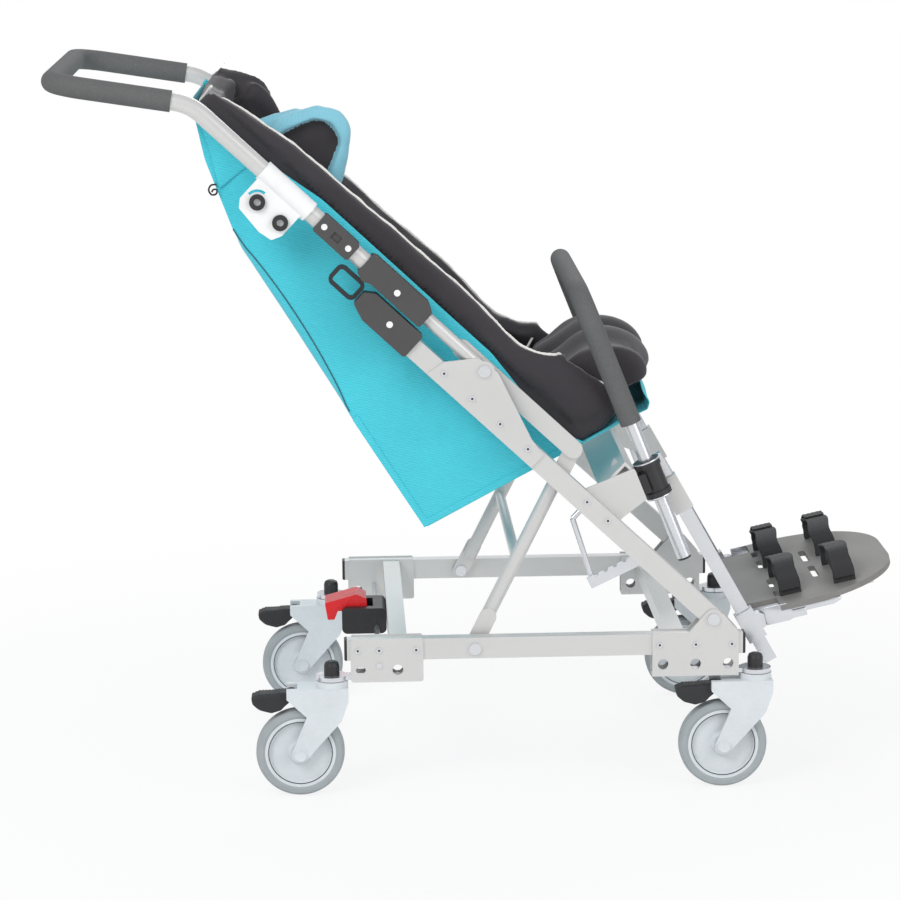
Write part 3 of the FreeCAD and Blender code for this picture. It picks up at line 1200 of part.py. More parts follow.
def head_support():
    """Light blue head support: a back pad and an arched wing on each side."""
    low, high = HEAD_S
    span = high - low
    foot, head = HEAD_FLOOR_N
    arch = [(low, foot), (low + span * 0.12, HEAD_TOP_N * 0.55), (low + span * 0.38, HEAD_TOP_N * 0.93),
            (low + span * 0.58, HEAD_TOP_N), (low + span * 0.78, HEAD_TOP_N * 0.9),
            (high, HEAD_TOP_N * 0.58), (high, head)]
    room = [(low + HEAD_BAND, foot), (low + span * 0.12 + HEAD_BAND, HEAD_TOP_N * 0.45),
            (low + span * 0.40, HEAD_TOP_N * 0.93 - HEAD_BAND),
            (low + span * 0.58, HEAD_TOP_N - HEAD_BAND),
            (low + span * 0.74, HEAD_TOP_N * 0.9 - HEAD_BAND), (high - HEAD_BAND, HEAD_TOP_N * 0.5),
            (high - HEAD_BAND, head)]
    wing = frame_prism(arch, -HEAD_HALF, -HEAD_HALF + HEAD_WING)
    wing = wing.cut(frame_prism(room, -HEAD_HALF, -HEAD_HALF + HEAD_WING - HEAD_LINING))
    pad = frame_prism([(low, foot), (high, head), (high, head + HEAD_PAD), (low, foot + HEAD_PAD)],
                      -HEAD_HALF, HEAD_HALF)
    return pad.fuse([wing, mirrored(wing)]).removeSplitter()


def main():
    """Build and write every piece."""
    right = {"base_rail": base_rail, "rear_bracket": rear_bracket, "front_bracket": front_bracket,
             "main_diagonal": main_diagonal,
             "finger_loop": finger_loop}
    for name, make in right.items():
        piece = make()
        save(name + "_right", piece)
        save(name + "_left", mirrored(piece))
    plugs = [rail_plug(RAIL_REAR_X, -1), rail_plug(RAIL_FRONT_X, 1)]
    caps = [nut_cap(x, sign) for x, sign, _ in caster_stems()]
    save("base_caps", Part.makeCompound(plugs + [mirrored(plug) for plug in plugs] + caps))
    save("cross_tubes", Part.makeCompound([cross_tube(REAR_CROSS_X), cross_tube(FRONT_CROSS_X)]))
    save("base_rivets", base_rivets())
    save("base_pivot_bolts", base_pivot_bolts())
    save("caster_plates", Part.makeCompound([caster_plate(*place) for place in caster_stems()]))
    save("latch_rod", latch_rod())
    save("latch_housing", latch_housing())
    save("latch_lever", latch_lever())
    for name, (x, sign, _) in zip(("rear_right", "rear_left", "front_right", "front_left"),
                                  caster_stems()):
        y = sign * TRACK_HALF
        save("caster_fork_" + name, caster_fork(x, y))
        save("caster_wheel_" + name, caster_wheel(x, y))
        save("caster_tyre_" + name, caster_tyre(x, y))
        save("caster_pedal_" + name, caster_pedal(x, y))
    save("gusset_plates", both(gusset_plate()))
    save("frame_rivets", frame_rivets())
    save("lock_blocks", both(lock_block()))
    save("front_side_plates", both(front_side_plate()))
    save("front_cross_member", front_cross_member())
    save("bar_clamps", both(bar_clamp()))
    save("bumper_tube", bumper_tube())
    save("bumper_foam", bumper_foam())
    save("tilt_prop", tilt_prop())
    save("foot_rails", foot_rails())
    save("foot_carrier", foot_carrier())
    save("footplate", footplate())
    save("footplate_bracket", footplate_bracket())
    save("foot_straps", foot_straps())
    save("handle_tube", handle_tube())
    save("handle_grip", handle_grip())
    save("lower_handle_bars", both(lower_handle_bar()))
    save("lock_sleeves", both(lock_sleeve()))
    save("height_blocks", both(height_block()))
    save("clamp_plates", both(clamp_plate()))
    save("clamp_knobs", clamp_knobs())
    save("rear_struts", rear_struts())
    save("seat_sling", seat_sling())
    save("seat_liner", seat_liner())
    save("seat_cushion", seat_cushion())
    save("head_support", head_support())


os.makedirs("parts", exist_ok=True)
main()
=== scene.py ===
"""Looks of a folding special needs stroller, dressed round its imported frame.

Lengths in the side plane are in millimetres: s runs up along the diagonal from its lower
pivot and n stands square to it. Every mesh is in metres, in the frame's own axes.
"""
import json
import logging
import math
from dataclasses import dataclass
from enum import Enum
from typing import Callable, Dict, List, Optional, Sequence, Tuple

import bpy
import numpy as np
from mathutils import Matrix, Vector


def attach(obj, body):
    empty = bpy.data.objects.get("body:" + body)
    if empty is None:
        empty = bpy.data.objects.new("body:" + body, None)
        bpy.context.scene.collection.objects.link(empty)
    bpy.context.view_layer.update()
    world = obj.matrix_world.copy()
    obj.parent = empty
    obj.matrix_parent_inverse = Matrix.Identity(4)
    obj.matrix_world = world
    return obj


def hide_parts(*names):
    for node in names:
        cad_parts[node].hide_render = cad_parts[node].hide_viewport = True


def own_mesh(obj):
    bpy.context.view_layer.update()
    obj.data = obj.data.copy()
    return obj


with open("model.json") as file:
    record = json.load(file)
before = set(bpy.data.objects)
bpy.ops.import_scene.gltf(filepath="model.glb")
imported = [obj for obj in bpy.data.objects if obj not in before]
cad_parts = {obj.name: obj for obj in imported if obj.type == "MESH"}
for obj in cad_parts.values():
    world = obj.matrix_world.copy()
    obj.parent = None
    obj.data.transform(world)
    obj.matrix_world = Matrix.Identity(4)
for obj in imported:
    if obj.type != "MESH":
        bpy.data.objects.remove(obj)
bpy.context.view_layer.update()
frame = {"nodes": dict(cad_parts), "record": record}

LOG = logging.getLogger("stroller")
MM = 0.001
MERGE = 0.00005
FINE_MERGE = 0.00002
PRESSURE = 4.0
STIFFNESS = 12.0
FRAMES = 18
Point = Tuple[float, float]
Triple = Tuple[float, float, float]
Colour = Tuple[float, float, float, float]


def linear(code: str) -> Colour:
    """Linear colour of a six digit colour code.

    Args:
        code: red, green and blue as hexadecimal pairs.

    Returns:
        The colour with full alpha.
    """
    parts = [int(code[i:i + 2], 16) / 255 for i in (0, 2, 4)]
    r, g, b = [p / 12.92 if p <= 0.04045 else ((p + 0.055) / 1.055) ** 2.4 for p in parts]
    return (r, g, b, 1.0)


class Body(Enum):
    """Moving groups of the frame that new pieces ride on."""

    BASE = "base"
    LOWER = "lower_frame"
    HANDLE = "handle_frame"
    BUMPER = "bumper_bar"
    FOOTPLATE = "footplate"


class Weave(Enum):
    """Kinds of cloth surface."""

    NYLON = "nylon"
    SPACER = "spacer"
    KNIT = "knit"
    WEBBING = "webbing"


@dataclass(frozen=True)
class SidePlane:
    """Side plane of the folding frame."""

    pivot_x: float = 318.0
    pivot_z: float = 246.0
    degrees: float = 43.2

    def along(self) -> Vector:
        """Unit vector up the diagonal."""
        a = math.radians(self.degrees)
        return Vector((-math.cos(a), 0.0, math.sin(a)))

    def square(self) -> Vector:
        """Unit vector square to the diagonal, forward and up."""
        a = math.radians(self.degrees)
        return Vector((math.sin(a), 0.0, math.cos(a)))

    def point(self, s: float, n: float, y: float = 0.0) -> Vector:
        """Place in metres of a point given in millimetres.

        Args:
            s: distance up the diagonal.
            n: distance square to it.
            y: distance across the stroller.

        Returns:
            The point in the frame's axes.
        """
        base = Vector((self.pivot_x, y, self.pivot_z))
        return (base + self.along() * s + self.square() * n) * MM

    def local(self, points: np.ndarray) -> np.ndarray:
        """Rows of s, n and y in millimetres of points in metres.

        Args:
            points: rows of X, Y and Z.

        Returns:
            Rows of s, n and y.
        """
        rel = points / MM - np.array([self.pivot_x, 0.0, self.pivot_z])
        s = rel @ np.array(self.along())
        n = rel @ np.array(self.square())
        return np.stack([s, n, rel[:, 1]], axis=1)


PLANE = SidePlane()


class Value:
    """A shader socket that takes part in arithmetic."""

    def __init__(self, graph: "Graph", socket: bpy.types.NodeSocket) -> None:
        """Wrap one output socket of a graph."""
        self.graph = graph
        self.socket = socket

    def _math(self, operation: str, first: object, second: object) -> "Value":
        """Result of one Math node."""
        return self.graph.value("ShaderNodeMath", {0: first, 1: second}, {"operation": operation})

    def __add__(self, other: object) -> "Value":
        """Sum."""
        return self._math("ADD", self, other)

    def __radd__(self, other: object) -> "Value":
        """Sum with the number first."""
        return self._math("ADD", other, self)

    def __sub__(self, other: object) -> "Value":
        """Difference."""
        return self._math("SUBTRACT", self, other)

    def __rsub__(self, other: object) -> "Value":
        """Difference with the number first."""
        return self._math("SUBTRACT", other, self)

    def __mul__(self, other: object) -> "Value":
        """Product."""
        return self._math("MULTIPLY", self, other)

    def sine(self) -> "Value":
        """Sine of the value in radians."""
        return self._math("SINE", self, 0.0)

    def absolute(self) -> "Value":
        """Value without its sign."""
        return self._math("ABSOLUTE", self, 0.0)


class Graph:
    """Node graph of one material."""

    def __init__(self, name: str) -> None:
        """Start an empty material."""
        self.material = bpy.data.materials.new(name)
        self.material.use_nodes = True
        self.tree = self.material.node_tree
        self.tree.nodes.clear()
        self.object = self.value("ShaderNodeTexCoord", {}, output="Object")

    def node(self, kind: str, settings: Dict[str, object],
             inputs: Dict[object, object]) -> bpy.types.Node:
        """Add one node.

        Args:
            kind: the node's type.
            settings: its own properties.
            inputs: values or links of its sockets, by name or number.

        Returns:
            The node.
        """
        made = self.tree.nodes.new(kind)
        for key, value in settings.items():
            setattr(made, key, value)
        for key, value in inputs.items():
            socket = made.inputs[key]
            if isinstance(value, Value):
                self.tree.links.new(value.socket, socket)
            else:
                socket.default_value = value
        return made

    def value(self, kind: str, inputs: Dict[object, object],
              settings: Optional[Dict[str, object]] = None, output: object = 0) -> Value:
        """One output of a new node.

        Args:
            kind: the node's type.
            inputs: values or links of its sockets, by name or number.
            settings: its own properties.
            output: name or number of the output.

        Returns:
            The output.
        """
        return Value(self, self.node(kind, settings or {}, inputs).outputs[output])

    def noise(self, scale: float, detail: float = 2.0,
              stretch: Optional[Sequence[float]] = None) -> Value:
        """Soft noise over the object.

        Args:
            scale: cells per metre.
            detail: number of finer layers.
            stretch: scale of each axis, where the noise is drawn out.

        Returns:
            A value from 0 to 1.
        """
        vector = self.object
        if stretch:
            vector = self.value("ShaderNodeMapping", {"Vector": vector, "Scale": tuple(stretch)})
        return self.value("ShaderNodeTexNoise", {"Vector": vector, "Scale": scale, "Detail": detail},
                          output="Fac")

    def cells(self, scale: float) -> Value:
        """Distance to the nearest cell point, for grain and mesh."""
        return self.value("ShaderNodeTexVoronoi", {"Vector": self.object, "Scale": scale}, output="Distance")

    def axes(self, degrees: float = 0.0) -> Tuple[Value, Value, Value]:
        """X, Y and Z of the object, turned about Y.

        Args:
            degrees: turn of the pattern.

        Returns:
            The three coordinates.
        """
        turn = (0.0, math.radians(degrees), 0.0)
        turned = self.value("ShaderNodeMapping", {"Vector": self.object, "Rotation": turn})
        split = self.node("ShaderNodeSeparateXYZ", {}, {0: turned})
        return tuple(Value(self, out) for out in split.outputs)

    def mix(self, factor: object, first: object, second: object) -> Value:
        """Blend of two colours."""
        return self.value("ShaderNodeMix", {0: factor, 6: first, 7: second}, {"data_type": "RGBA"}, 2)

    def bump(self, height: Value, strength: float, distance: float) -> Value:
        """Normal of a height."""
        return self.value("ShaderNodeBump", {"Strength": strength, "Distance": distance, "Height": height})

    def surface(self, inputs: Dict[str, object]) -> bpy.types.Material:
        """Close the graph with a principled shader.

        Args:
            inputs: its sockets.

        Returns:
            The material.
        """
        return self.closed(self.value("ShaderNodeBsdfPrincipled", inputs))

    def closed(self, shader: Value) -> bpy.types.Material:
        """The material, which ends in a shader."""
        self.node("ShaderNodeOutputMaterial", {}, {"Surface": shader})
        return self.material


@dataclass(frozen=True)
class Finish:
    """A surface finish with its base colour."""

    name: str
    code: str

    def shades(self, darker: float = 0.86, lighter: float = 1.06) -> Tuple[Colour, Colour]:
        """A slightly darker and a slightly lighter tone of the colour."""
        rgb = linear(self.code)[:3]
        dark, light = [tuple(min(part * share, 1.0) for part in rgb) for share in (darker, lighter)]
        return dark + (1.0,), light + (1.0,)

    def build(self) -> bpy.types.Material:
        """Make the material; each kind of finish has its own."""
        raise NotImplementedError


@dataclass(frozen=True)
class Painted(Finish):
    """Metallic silver paint on tube and plate."""

    metallic: float = 0.35
    roughness: float = 0.36

    def build(self) -> bpy.types.Material:
        """Flaked paint with fine rub marks and soft stains."""
        g = Graph(self.name)
        dark, light = self.shades(0.84, 1.05)
        flake = g.noise(2600.0, 1.0)
        cloud = g.noise(9.0, 4.0)
        rubs = g.noise(240.0, 3.0, (1.0, 9.0, 9.0))
        tone = flake * 0.3 + cloud * 0.5 + rubs * 0.2
        rough = self.roughness + (rubs - 0.5) * 0.22 + (cloud - 0.5) * 0.12
        peel = g.noise(420.0, 1.0) * 0.7 + flake * 0.3
        return g.surface({"Base Color": g.mix(tone, dark, light), "Metallic": self.metallic,
                          "Roughness": rough, "Normal": g.bump(peel, 0.12, 0.0006),
                          "Coat Weight": 0.15, "Coat Roughness": 0.25})


@dataclass(frozen=True)
class Plated(Finish):
    """Bright zinc plate."""

    roughness: float = 0.3

    def build(self) -> bpy.types.Material:
        """Bluish metal with mottling and drawing lines."""
        g = Graph(self.name)
        dark, light = self.shades(0.8, 1.05)
        mottle = g.noise(38.0, 3.0)
        drawn = g.noise(300.0, 2.0, (8.0, 8.0, 1.0))
        rough = self.roughness + (mottle - 0.5) * 0.2 + (drawn - 0.5) * 0.15
        return g.surface({"Base Color": g.mix(mottle * 0.7 + drawn * 0.3, dark, light), "Metallic": 0.85,
                          "Roughness": rough, "Normal": g.bump(drawn, 0.05, 0.0003)})


@dataclass(frozen=True)
class Moulded(Finish):
    """Moulded plastic with a fine spark grain."""

    roughness: float = 0.48
    grain: float = 900.0
    depth: float = 0.25
    coat: float = 0.0

    def build(self) -> bpy.types.Material:
        """Grained plastic with soft handling marks."""
        g = Graph(self.name)
        dark, light = self.shades(0.82, 1.1)
        grain = g.cells(self.grain)
        marks = g.noise(26.0, 5.0)
        scuff = g.noise(160.0, 3.0, (1.0, 6.0, 2.0))
        rough = self.roughness + (marks - 0.5) * 0.2 + (scuff - 0.5) * 0.14
        return g.surface({"Base Color": g.mix(marks * 0.65 + scuff * 0.35, dark, light),
                          "Roughness": rough, "Normal": g.bump(grain, self.depth, 0.0005),
                          "Coat Weight": self.coat, "Coat Roughness": 0.12})


@dataclass(frozen=True)
class Foamed(Finish):
    """Skinned foam with open cells."""

    def build(self) -> bpy.types.Material:
        """Speckled soft foam."""
        g = Graph(self.name)
        dark, light = self.shades(0.62, 1.18)
        cell = g.cells(520.0)
        fine = g.noise(1500.0, 2.0)
        worn = g.noise(14.0, 3.0)
        tone = cell * 0.5 + fine * 0.25 + worn * 0.35
        return g.surface({"Base Color": g.mix(tone, dark, light), "Roughness": 0.82 + (worn - 0.5) * 0.15,
                          "Normal": g.bump(cell * 0.6 + fine * 0.4, 0.5, 0.0011)})


@dataclass(frozen=True)
class Rubbered(Finish):
    """Tyre and pedal rubber."""

    roughness: float = 0.66

    def build(self) -> bpy.types.Material:
        """Matt rubber with dust and faint wear."""
        g = Graph(self.name)
        dark, light = self.shades(0.8, 1.14)
        dust = g.noise(34.0, 5.0)
        pores = g.noise(1300.0, 1.0)
        return g.surface({"Base Color": g.mix(dust * 0.8 + pores * 0.2, dark, light),
                          "Roughness": self.roughness + (dust - 0.5) * 0.2,
                          "Normal": g.bump(pores, 0.2, 0.0004)})


@dataclass(frozen=True)
class Woven(Finish):
    """Cloth with its weave and soft wrinkles."""

    weave: Weave = Weave.NYLON
    threads: float = 2600.0
    wrinkle: float = 0.3

    def build(self) -> bpy.types.Material:
        """Threads, cloth tone and fine creases for the kind of weave."""
        g = Graph(self.name)
        dark, light = self.shades(0.7, 1.14)
        x, y, z = g.axes(PLANE.degrees)
        warp = (x * self.threads).sine()
        weft = (y * self.threads).sine()
        bias = (z * self.threads).sine()
        if self.weave is Weave.SPACER:
            thread = 1.0 - g.cells(self.threads * 0.12)
        elif self.weave is Weave.WEBBING:
            rows = (y * self.threads * 0.6).sine() * 0.5 + 0.5
            thread = rows * 0.7 + warp.absolute() * 0.3
        elif self.weave is Weave.NYLON:
            across, _, high = g.axes()
            wander = g.noise(240.0, 2.0) * 5.0
            rib = ((high + across * 0.25) * self.threads * 0.72 + wander).sine() * 0.5 + 0.5
            thread = rib * 0.75 + (warp * bias * 0.5 + 0.5) * 0.25
        else:
            thread = (warp * weft + weft * bias + warp * bias) * 0.25 + 0.5
        soft = g.noise(7.0, 4.0)
        crease = g.noise(26.0, 5.0, (1.0, 0.45, 1.6))
        pile = g.noise(900.0, 2.0)
        tone = soft * 0.35 + thread * 0.42 + pile * 0.23
        raised = 0.8 if self.weave is Weave.NYLON else 0.3
        height = thread * raised + pile * 0.15 + crease * self.wrinkle * 4.0
        sheen = {Weave.NYLON: 0.15, Weave.SPACER: 0.25, Weave.KNIT: 0.4, Weave.WEBBING: 0.1}[self.weave]
        rough = 0.74 + (soft - 0.5) * 0.16 + (thread - 0.5) * 0.1
        return g.surface({"Base Color": g.mix(tone, dark, light), "Roughness": rough,
                          "Normal": g.bump(height, 0.34, 0.0016),
                          "Sheen Weight": sheen, "Sheen Roughness": 0.5})


FINISHES: Dict[str, Finish] = {
    "silver_frame": Painted("silver_paint", "dbdad8"),
    "zinc": Plated("zinc_plate", "e2e4e8", 0.24),
    "black_plastic": Moulded("black_moulding", "2b2a2c", 0.45, 1100.0),
    "dark_plastic": Moulded("grey_moulding", "4d4b4b", 0.5, 900.0),
    "white_plastic": Moulded("white_moulding", "fcfcfb", 0.4, 1300.0, 0.15),
    "caster_grey": Moulded("caster_moulding", "e0e5e8", 0.42, 1200.0, 0.18),
    "tyre_grey": Rubbered("tyre_rubber", "a7adaf"),
    "pedal_rubber": Rubbered("pedal_rubber", "2c2c2e", 0.6),
    "foam": Foamed("grip_foam", "676767"),
    "turquoise_cloth": Woven("turquoise_nylon", "4ad6e7", Weave.NYLON, 2400.0, 0.3),
    "black_cloth": Woven("black_spacer_mesh", "332f34", Weave.SPACER, 3000.0, 0.35),
    "blue_cloth": Woven("light_blue_knit", "86cadd", Weave.KNIT, 2200.0, 0.2),
    "red_plastic": Moulded("red_moulding", "ea1f25", 0.3, 1500.0, 0.1, 0.3),
    "footplate_grey": Moulded("footplate_grain", "868481", 0.58, 520.0, 0.4),
    "webbing": Woven("hook_loop_webbing", "2e2d2f", Weave.WEBBING, 1500.0, 0.1),
    "piping": Woven("white_piping", "f4f2ec", Weave.KNIT, 2600.0, 0.05),
    "seam": Woven("dark_seam_tape", "17717f", Weave.KNIT, 2600.0, 0.05),
    "rivet_eye": Plated("rivet_eye", "4a4a4c", 0.45),
}
PAINTED_NODES: Dict[str, str] = {"front_cross_member": "silver_frame",
                                 "front_side_plates": "silver_frame"}
MATERIALS: Dict[str, bpy.types.Material] = {}


def dressed(piece: bpy.types.Object, slot: str, finish: Optional[str] = None) -> bpy.types.Object:
    """Give a piece its finish: its slot's own, unless another finish is named.

    Args:
        piece: a mesh object.
        slot: the record's material slot.
        finish: name of the finish, where it isn't the slot's own.

    Returns:
        The piece.
    """
    piece.data.materials.clear()
    piece.data.materials.append(MATERIALS[finish or slot])
    return piece


def deselect() -> None:
    """Leave edit mode and clear the selection."""
    if bpy.context.object and bpy.context.object.mode != "OBJECT":
        bpy.ops.object.mode_set(mode="OBJECT")
    bpy.ops.object.select_all(action="DESELECT")


def activate(piece: bpy.types.Object) -> None:
    """Make one piece the only selected and active object."""
    deselect()
    piece.select_set(True)
    bpy.context.view_layer.objects.active = piece


def apply_modifier(piece: bpy.types.Object, kind: str, settings: Dict[str, object]) -> None:
    """Add a modifier to a piece and apply it.

    Args:
        piece: a mesh object.
        kind: the modifier's type.
        settings: its properties.
    """
    activate(piece)
    modifier = piece.modifiers.new(kind.title(), kind)
    for key, value in settings.items():
        setattr(modifier, key, value)
    bpy.ops.object.modifier_apply(modifier=modifier.name)


def smooth(piece: bpy.types.Object, degrees: float = 40.0) -> None:
    """Shade smooth across edges up to an angle."""
    activate(piece)
    bpy.ops.object.shade_smooth_by_angle(angle=math.radians(degrees))


def eased(piece: bpy.types.Object, width: float, segments: int = 2,
          degrees: float = 40.0) -> bpy.types.Object:
    """Bevel the sharp edges of a piece and shade it smooth.

    Args:
        piece: a mesh object.
        width: width of the bevel in metres.
        segments: number of faces across it.
        degrees: angle up to which edges are shaded smooth.

    Returns:
        The piece.
    """
    apply_modifier(piece, "BEVEL", {"width": width, "segments": segments, "limit_method": "ANGLE"})
    smooth(piece, degrees)
    return piece


def edit_all(piece: bpy.types.Object) -> None:
    """Enter edit mode with all of a piece selected."""
    activate(piece)
    bpy.ops.object.mode_set(mode="EDIT")
    bpy.ops.mesh.select_all(action="SELECT")


def outward(piece: bpy.types.Object, merge: float = 0.0) -> None:
    """Turn every face of a piece outward.

    Args:
        piece: a mesh object.
        merge: distance in metres within which its points are merged first.
    """
    edit_all(piece)
    if merge:
        bpy.ops.mesh.remove_doubles(threshold=merge)
    bpy.ops.mesh.normals_make_consistent(inside=False)
    bpy.ops.object.mode_set(mode="OBJECT")


def linked(name: str, data: bpy.types.ID) -> bpy.types.Object:
    """New object of a mesh, lamp or camera in the scene."""
    piece = bpy.data.objects.new(name, data)
    bpy.context.scene.collection.objects.link(piece)
    return piece


def mesh_piece(name: str, points: np.ndarray, faces: Sequence[Sequence[int]]) -> bpy.types.Object:
    """New mesh object from points and faces.

    Args:
        name: the piece's name.
        points: rows of X, Y and Z in metres.
        faces: corner numbers of each face.

    Returns:
        The object.
    """
    mesh = bpy.data.meshes.new(name)
    mesh.from_pydata([tuple(p) for p in points], [], [tuple(f) for f in faces])
    mesh.update()
    return linked(name, mesh)


def grid_faces(rows: int, columns: int, closed: bool = False) -> List[Tuple[int, int, int, int]]:
    """Quads of a grid of points, row by row.

    Args:
        rows: number of rows.
        columns: number of points in a row.
        closed: True where a row's last point meets its first.

    Returns:
        The faces.
    """
    faces = []
    last = columns if closed else columns - 1
    for i in range(rows - 1):
        for j in range(last):
            k = (j + 1) % columns
            faces.append((i * columns + j, i * columns + k, (i + 1) * columns + k, (i + 1) * columns + j))
    return faces


def cloth_band(name: str, points: Sequence[Vector], columns: int, thick: float,
               bevel: float) -> bpy.types.Object:
    """Band of cloth over a grid of points.

    Args:
        name: the piece's name.
        points: the grid, row by row.
        columns: number of points in a row.
        thick: thickness in metres.
        bevel: width of its rounded edges in metres.

    Returns:
        The piece.
    """
    piece = mesh_piece(name, np.array(points), grid_faces(len(points) // columns, columns))
    apply_modifier(piece, "SOLIDIFY", {"thickness": thick, "offset": 0.0})
    return eased(piece, bevel, 2, 50)


def through(points: Sequence[Vector], steps: int) -> np.ndarray:
    """Smooth line through points.

    Args:
        points: places that the line passes.
        steps: number of samples on each span.

    Returns:
        Rows of X, Y and Z.
    """
    ps = [np.array(p) for p in points]
    ps = [2 * ps[0] - ps[1]] + ps + [2 * ps[-1] - ps[-2]]
    rows = []
    for a, b, c, d in zip(ps, ps[1:], ps[2:], ps[3:]):
        for t in np.linspace(0, 1, steps, endpoint=False):
            rows.append(0.5 * (2 * b + (c - a) * t + (2 * a - 5 * b + 4 * c - d) * t * t
                               + (3 * b - a - 3 * c + d) * t ** 3))
    rows.append(ps[-2])
    return np.array(rows)


def tube_piece(name: str, line: np.ndarray, radii: Sequence[float], around: int = 16) -> bpy.types.Object:
    """Closed round tube along a line, with a radius at each point.

    Args:
        name: the piece's name.
        line: rows of X, Y and Z.
        radii: radius in metres at each row.
        around: number of points round the tube.

    Returns:
        The object.
    """
    tangents = np.gradient(line, axis=0)
    tangents /= np.linalg.norm(tangents, axis=1)[:, None]
    side = np.array([0.0, 1.0, 0.0]) if abs(tangents[0][1]) < 0.9 else np.array([1.0, 0.0, 0.0])
    angles = np.linspace(0, 2 * math.pi, around, endpoint=False)
    rings = []
    for place, tangent, radius in zip(line, tangents, radii):
        side = side - tangent * side.dot(tangent)
        side /= np.linalg.norm(side)
        up = np.cross(tangent, side)
        rings.append(place + radius * (np.cos(angles)[:, None] * side + np.sin(angles)[:, None] * up))
    points = np.concatenate(rings)
    faces = list(grid_faces(len(line), around, True))
    faces.append(tuple(reversed(range(around))))
    faces.append(tuple(range(len(points) - around, len(points))))
    piece = mesh_piece(name, points, faces)
    outward(piece)
    smooth(piece, 60)
    return piece


def node_copy(node: str, name: str) -> bpy.types.Object:
    """Merged copy of a solid, to be shaped into a soft piece.

    Args:
        node: the solid's name.
        name: the new piece's name.

    Returns:
        The copy.
    """
    piece = linked(name, frame["nodes"][node].data.copy())
    edit_all(piece)
    bpy.ops.mesh.remove_doubles(threshold=MERGE)
    bpy.ops.object.mode_set(mode="OBJECT")
    return piece


def read_points(piece: bpy.types.Object) -> np.ndarray:
    """Rows of a mesh's points."""
    rows = np.zeros(len(piece.data.vertices) * 3)
    piece.data.vertices.foreach_get("co", rows)
    return rows.reshape(-1, 3)


def write_points(piece: bpy.types.Object, points: np.ndarray) -> None:
    """Move a mesh's points."""
    piece.data.vertices.foreach_set("co", points.ravel())
    piece.data.update()


def read_normals(piece: bpy.types.Object) -> np.ndarray:
    """Rows of a mesh's point normals."""
    rows = np.zeros(len(piece.data.vertices) * 3)
    piece.data.vertices.foreach_get("normal", rows)
    return rows.reshape(-1, 3)


def pushed(piece: bpy.types.Object, depth: np.ndarray) -> np.ndarray:
    """Points of a mesh, moved out along their normals by a depth in millimetres."""
    return read_points(piece) + read_normals(piece) * (depth * MM)[:, None]


def shifted(amount: np.ndarray, way: Vector) -> np.ndarray:
    """Rows of a move along a vector, by an amount in millimetres."""
    return np.outer(amount * MM, np.array(way))


def ramp(values: np.ndarray, start: float, over: float) -> np.ndarray:
    """Share from 0 to 1 that rises from a start over a length."""
    return np.clip((values - start) / over, 0, 1)


def bell(values: np.ndarray, middle: float, width: float) -> np.ndarray:
    """Share that is 1 at the middle and falls off softly over a width."""
    return np.exp(-((values - middle) / width) ** 2)


def sided(name: str, sign: int) -> str:
    """Name of a piece on the right (-1) or left (1) side."""
    return "%s_%s" % (name, "right" if sign < 0 else "left")


def remeshed(piece: bpy.types.Object, cell: float, passes: int) -> None:
    """Remesh a piece into even cells and soften it.

    Args:
        piece: a closed mesh.
        cell: size of the cells in metres.
        passes: number of smoothing passes.
    """
    apply_modifier(piece, "REMESH", {"mode": "VOXEL", "voxel_size": cell, "use_smooth_shade": True})
    apply_modifier(piece, "SMOOTH", {"factor": 0.5, "iterations": passes})


def inflate(piece: bpy.types.Object, cell: float, cap: float,
            free: Optional[Callable[[np.ndarray], np.ndarray]] = None) -> None:
    """Remesh a pad and swell its cover with a cloth simulation.

    Args:
        piece: a closed mesh.
        cell: size of the new mesh's cells in metres.
        cap: furthest that a point may move, in metres.
        free: share of the movement that each place is left, from 0 to 1.
    """
    remeshed(piece, cell, 6)
    rest = read_points(piece)
    scene = bpy.context.scene
    cloth = piece.modifiers.new("Cover", "CLOTH")
    cloth.settings.use_pressure = True
    cloth.settings.uniform_pressure_force = PRESSURE
    cloth.settings.effector_weights.gravity = 0.0
    cloth.settings.quality = 4
    cloth.settings.tension_stiffness = STIFFNESS
    cloth.settings.compression_stiffness = STIFFNESS
    cloth.collision_settings.use_self_collision = False
    cloth.point_cache.frame_start = 1
    cloth.point_cache.frame_end = FRAMES
    for step in range(1, FRAMES + 1):
        scene.frame_set(step)
    evaluated = piece.evaluated_get(bpy.context.evaluated_depsgraph_get())
    swollen = np.array([v.co for v in evaluated.data.vertices])
    piece.modifiers.remove(cloth)
    move = swollen - rest
    far = np.linalg.norm(move, axis=1)
    move *= (np.minimum(far, cap) / np.maximum(far, 1e-9))[:, None]
    if free:
        move *= free(PLANE.local(rest))[:, None]
    write_points(piece, rest + move)
    scene.frame_set(1)
    apply_modifier(piece, "SMOOTH", {"factor": 0.5, "iterations": 3})


def ripple(places: np.ndarray, waves: Sequence[Tuple[float, float, float, float]]) -> np.ndarray:
    """Sum of soft waves over rows of two coordinates.

    Args:
        places: rows of two coordinates in millimetres.
        waves: height, the two wave numbers in turns per metre, and a phase.

    Returns:
        A height for each row.
    """
    total = np.zeros(len(places))
    for height, first, second, phase in waves:
        total += height * np.sin(2 * math.pi * MM * (first * places[:, 0] + second * places[:, 1]) + phase)
    return total


